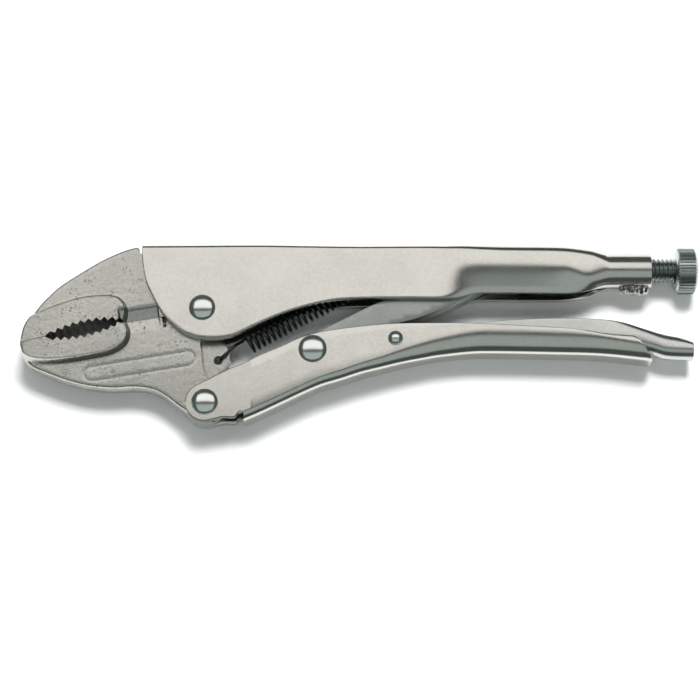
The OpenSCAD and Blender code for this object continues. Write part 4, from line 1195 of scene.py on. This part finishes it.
# %% Knob
def turned_mesh(name, profile, rounds=96):
    """A profile of (x, radius) turned about the screw's axis."""
    a = np.linspace(0, 2 * math.pi, rounds, endpoint=False)
    points = [(x, SCREW_Y + r * math.cos(b), MID_Z + r * math.sin(b)) for x, r in profile for b in a]
    faces = []
    for i in range(len(profile) - 1):
        for j in range(rounds):
            k = (j + 1) % rounds
            faces.append((i * rounds + j, i * rounds + k, (i + 1) * rounds + k, (i + 1) * rounds + j))
    return new_mesh(name, points, faces)


KNOB_R = (KNOB_HIGH[1] - KNOB_LOW[1]) / 2
KNOB_LEN = KNOB_HIGH[0] - KNOB_LOW[0]
RIDGES, RIDGE_DEPTH = 42, 0.7
core = KNOB_R - RIDGE_DEPTH
knob_profile = [(0, 0), (0, core - 1.6), (0.12, core - 1.0), (0.5, core - 0.45), (1.0, core), (1.0, core),
                (KNOB_LEN - 1.0, core), (KNOB_LEN - 1.0, core), (KNOB_LEN - 0.5, core - 0.4),
                (KNOB_LEN - 0.12, core - 1.0), (KNOB_LEN, core - 1.7), (KNOB_LEN, core - 4.2),
                (KNOB_LEN - 0.15, core - 4.6), (KNOB_LEN - 0.15, 0)]
knob_base = turned_mesh("knob_base", [(KNOB_LOW[0] + x, r) for x, r in knob_profile])

knurl_tree, knurl_in, knurl_out = node_tree("Knurl", {
    "Ridges": "Int", "Radius": "Float", "Ridge": "Object", "Centre": "Vector", "Material": "Material"})
ring = add(knurl_tree, "GeometryNodeMeshCircle", {"Vertices": knurl_in["Ridges"],
                                                  "Radius": knurl_in["Radius"]})
index = add(knurl_tree, "GeometryNodeInputIndex").outputs[0]
step = gn_math(knurl_tree, "DIVIDE", 2 * math.pi, knurl_in["Ridges"])
spin = add(knurl_tree, "ShaderNodeCombineXYZ", {"Z": gn_math(knurl_tree, "MULTIPLY", index, step)})
one = add(knurl_tree, "GeometryNodeObjectInfo", {"Object": knurl_in["Ridge"]}, transform_space="ORIGINAL")
many = add(knurl_tree, "GeometryNodeInstanceOnPoints", {"Points": ring.outputs["Mesh"],
                                                        "Instance": one.outputs["Geometry"],
                                                        "Rotation": spin.outputs[0]})
upright = add(knurl_tree, "GeometryNodeTransform", {"Geometry": many.outputs[0],
                                                    "Translation": knurl_in["Centre"],
                                                    "Rotation": (0, math.pi / 2, 0)})
both = add(knurl_tree, "GeometryNodeJoinGeometry")
knurl_tree.links.new(knurl_in["Geometry"], both.inputs[0])
knurl_tree.links.new(upright.outputs[0], both.inputs[0])
end_tree(knurl_tree, both.outputs[0], knurl_in["Material"], knurl_out)

# One ridge lies along Z with its crest towards +X, and is tapered at both ends
ridge_half, ridge_len = 0.44, KNOB_LEN - 1.7
ridge_profile = [(-0.3, -ridge_half), (RIDGE_DEPTH - 0.16, -0.16), (RIDGE_DEPTH - 0.02, -0.08),
                 (RIDGE_DEPTH - 0.02, 0.08), (RIDGE_DEPTH - 0.16, 0.16), (-0.3, ridge_half)]
ridge_points, ridge_faces = [], []
for z, share in ((-ridge_len / 2, 0.0), (-ridge_len / 2 + 0.5, 1.0), (ridge_len / 2 - 0.5, 1.0),
                 (ridge_len / 2, 0.0)):
    for x, y in ridge_profile:
        ridge_points.append((min(x, x * share - 0.05 * (1 - share)), y, z))
n = len(ridge_profile)
for i in range(3):
    for j in range(n):
        k = (j + 1) % n
        ridge_faces.append((i * n + j, i * n + k, (i + 1) * n + k, (i + 1) * n + j))
ridge_faces += [tuple(range(n)), tuple(range(3 * n, 4 * n))]
ridge = new_mesh("ridge", ridge_points, ridge_faces)
knob = grown("adjusting_knob_knurled", knob_base, knurl_tree, {
    "Ridges": RIDGES, "Radius": core * MM, "Ridge": ridge, "Material": KNOB_METAL,
    "Centre": ((KNOB_LOW[0] + KNOB_LEN / 2) * MM, SCREW_Y * MM, MID_Z * MM)})
bpy.data.objects.remove(ridge)
finish_piece(knob, "knob", KNOB_METAL, ["adjusting_knob"])

# %% [markdown]
# ### Rivets
# A rivet is a shank with a head on each side. The tree takes one dome, drawn at unit size, sets it on
# both faces of the handle at that rivet's own size, and puts a shank between them.

# %% Rivets
def unit_dome(rounds=72, rows=20):
    """A dome of radius 1 and height 1, steep at its rim and closed below."""
    points, faces = [], []
    a = np.linspace(0, 2 * math.pi, rounds, endpoint=False)
    turns = np.radians(np.linspace(90, 0, rows))
    profile = [(math.cos(t), math.sin(t)) for t in turns] + [(1.0, -0.06), (0.97, -0.12), (0.0, -0.12)]
    for r, z in profile:
        for b in a:
            points.append((r * math.cos(b) / MM, r * math.sin(b) / MM, z / MM))
    for i in range(len(profile) - 1):
        for j in range(rounds):
            k = (j + 1) % rounds
            faces.append((i * rounds + j, i * rounds + k, (i + 1) * rounds + k, (i + 1) * rounds + j))
    return new_mesh("unit_dome", points, faces)


rivet_tree, rivet_in, rivet_out = node_tree("Rivet", {
    "Dome": "Object", "Top": "Vector", "Bottom": "Vector", "Centre": "Vector", "Size": "Vector",
    "Shank Radius": "Float", "Shank Length": "Float", "Material": "Material"})
dome = add(rivet_tree, "GeometryNodeObjectInfo", {"Object": rivet_in["Dome"]}, transform_space="ORIGINAL")
top = add(rivet_tree, "GeometryNodeTransform", {"Geometry": dome.outputs["Geometry"],
                                                "Translation": rivet_in["Top"], "Scale": rivet_in["Size"]})
bottom = add(rivet_tree, "GeometryNodeTransform", {"Geometry": dome.outputs["Geometry"],
                                                   "Translation": rivet_in["Bottom"],
                                                   "Rotation": (math.pi, 0, 0), "Scale": rivet_in["Size"]})
shank = add(rivet_tree, "GeometryNodeMeshCylinder", {"Vertices": 48, "Radius": rivet_in["Shank Radius"],
                                                     "Depth": rivet_in["Shank Length"]})
shank = add(rivet_tree, "GeometryNodeTransform", {"Geometry": shank.outputs["Mesh"],
                                                  "Translation": rivet_in["Centre"]})
rivet_parts = add(rivet_tree, "GeometryNodeJoinGeometry")
for part in (top, bottom, shank):
    rivet_tree.links.new(part.outputs[0], rivet_parts.inputs[0])
end_tree(rivet_tree, rivet_parts.outputs[0], rivet_in["Material"], rivet_out)

dome_shape = unit_dome()
for node, body in (("jaw_pivot_rivet", "fixed_frame"), ("handle_pivot_rivet", "handle"),
                   ("link_pivot_rivet", "handle"), ("lever_pivot_rivet", "handle")):
    low, high = box_mm(node)
    x, y, z = (low + high) / 2
    head, rise = (high[0] - low[0]) / 2, high[2] - MID_Z - PLATE_OUT
    piece = grown(node + "_heads", empty_mesh(node + "_base"), rivet_tree, {
        "Dome": dome_shape, "Top": (x * MM, y * MM, (MID_Z + PLATE_OUT) * MM),
        "Bottom": (x * MM, y * MM, (MID_Z - PLATE_OUT) * MM), "Centre": (x * MM, y * MM, z * MM),
        "Size": (head * MM, head * MM, rise * MM), "Shank Radius": head / 1.62 * MM,
        "Shank Length": 2 * PLATE_OUT * MM, "Material": RIVET_METAL})
    finish_piece(piece, body, RIVET_METAL, [node])
bpy.data.objects.remove(dome_shape)

# %% [markdown]
# ## The studio
# A white table, one broad softbox overhead and a smaller lamp behind the tool that throws a soft shadow
# towards the viewer. The room round the softbox is dark, and that is what draws the dark bands
# along every fold of the bright metal.

# %% Floor, light and camera
def flat_material(name, colour, rough):
    material = bpy.data.materials.new(name)
    material.use_nodes = True
    tree = material.node_tree
    shader = tree.nodes["Principled BSDF"]
    shader.inputs["Roughness"].default_value = rough
    shade = noise(tree, add(tree, "ShaderNodeTexCoord").outputs["Object"], 3.0)
    mix = add(tree, "ShaderNodeMix", {"Factor": shade, "A": colour, "B": tuple(0.99 * v for v in colour)},
              data_type="RGBA")
    tree.links.new(mix.outputs["Result"], shader.inputs["Base Color"])
    return material


FLOOR_HALF = 1.5
floor_mesh = bpy.data.meshes.new("floor")
floor_mesh.from_pydata([(-FLOOR_HALF, -FLOOR_HALF, 0), (FLOOR_HALF, -FLOOR_HALF, 0),
                        (FLOOR_HALF, FLOOR_HALF, 0), (-FLOOR_HALF, FLOOR_HALF, 0)], [], [(0, 1, 2, 3)])
floor = bpy.data.objects.new("floor", floor_mesh)
bpy.context.scene.collection.objects.link(floor)
floor_mesh.materials.append(flat_material("white table", (0.93, 0.93, 0.93, 1), 0.9))
floor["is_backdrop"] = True


def area_light(name, place, aim, size, power, colour=(1.0, 1.0, 1.0)):
    lamp = bpy.data.lights.new(name, "AREA")
    lamp.shape = "RECTANGLE"
    lamp.size, lamp.size_y = size
    lamp.energy = power
    lamp.color = colour
    light = bpy.data.objects.new(name, lamp)
    light.location = place
    light.rotation_euler = (Vector(aim) - Vector(place)).to_track_quat("-Z", "Y").to_euler()
    bpy.context.scene.collection.objects.link(light)
    return light


area_light("softbox", (0, 0.565, 1.1), (0, 0.565, 0), (1.6, 0.73), 3.9,
           (1.0, 0.985, 0.955))
area_light("dim card", (0, -0.39, 1.0), (0, -0.3, 0), (1.6, 0.8), 1.6, (0.88, 1.0, 0.96))
card_mesh = bpy.data.meshes.new("black_flag")
card_mesh.from_pydata([(-0.8, 0.02, 1.12), (0.8, 0.02, 1.12), (0.8, 0.2, 1.12), (-0.8, 0.2, 1.12)], [],
                      [(0, 1, 2, 3)])
flag = bpy.data.objects.new("black_flag", card_mesh)
bpy.context.scene.collection.objects.link(flag)
card_mesh.materials.append(flat_material("black felt", (0.01, 0.012, 0.012, 1), 0.95))
flag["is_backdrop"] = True
for lamp in (area_light("key lamp", (0.14, 0.60, 1.12), (0, 0, 0), (0.5, 0.42), 21),
             area_light("front fill", (0, -0.7, 1.0), (0, 0, 0), (1.4, 0.6), 3)):
    lamp.visible_glossy = False
world = bpy.data.worlds.new("studio")
world.use_nodes = True
world.node_tree.nodes["Background"].inputs["Color"].default_value = (0.52, 0.66, 0.62, 1)
world.node_tree.nodes["Background"].inputs["Strength"].default_value = 0.14
bpy.context.scene.world = world
bpy.context.scene.view_settings.view_transform = "Standard"

CAMERA_DISTANCE = 0.80
CAMERA_TILT = math.radians(15)
VIEW_WIDTH = 0.2562
aim = Vector((-0.0041, -0.00705, (MID_Z + PLATE_OUT) * MM))
camera_data = bpy.data.cameras.new("camera")
camera_data.sensor_width = 36
camera_data.lens = 36 * CAMERA_DISTANCE / VIEW_WIDTH
camera = bpy.data.objects.new("camera", camera_data)
camera.location = aim + Vector((0, -math.sin(CAMERA_TILT), math.cos(CAMERA_TILT))) * CAMERA_DISTANCE
camera.rotation_euler = (CAMERA_TILT, 0, 0)
bpy.context.scene.collection.objects.link(camera)
bpy.context.scene.camera = camera

# %% Sizes and the end
low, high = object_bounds()
print("visual box", low, high)
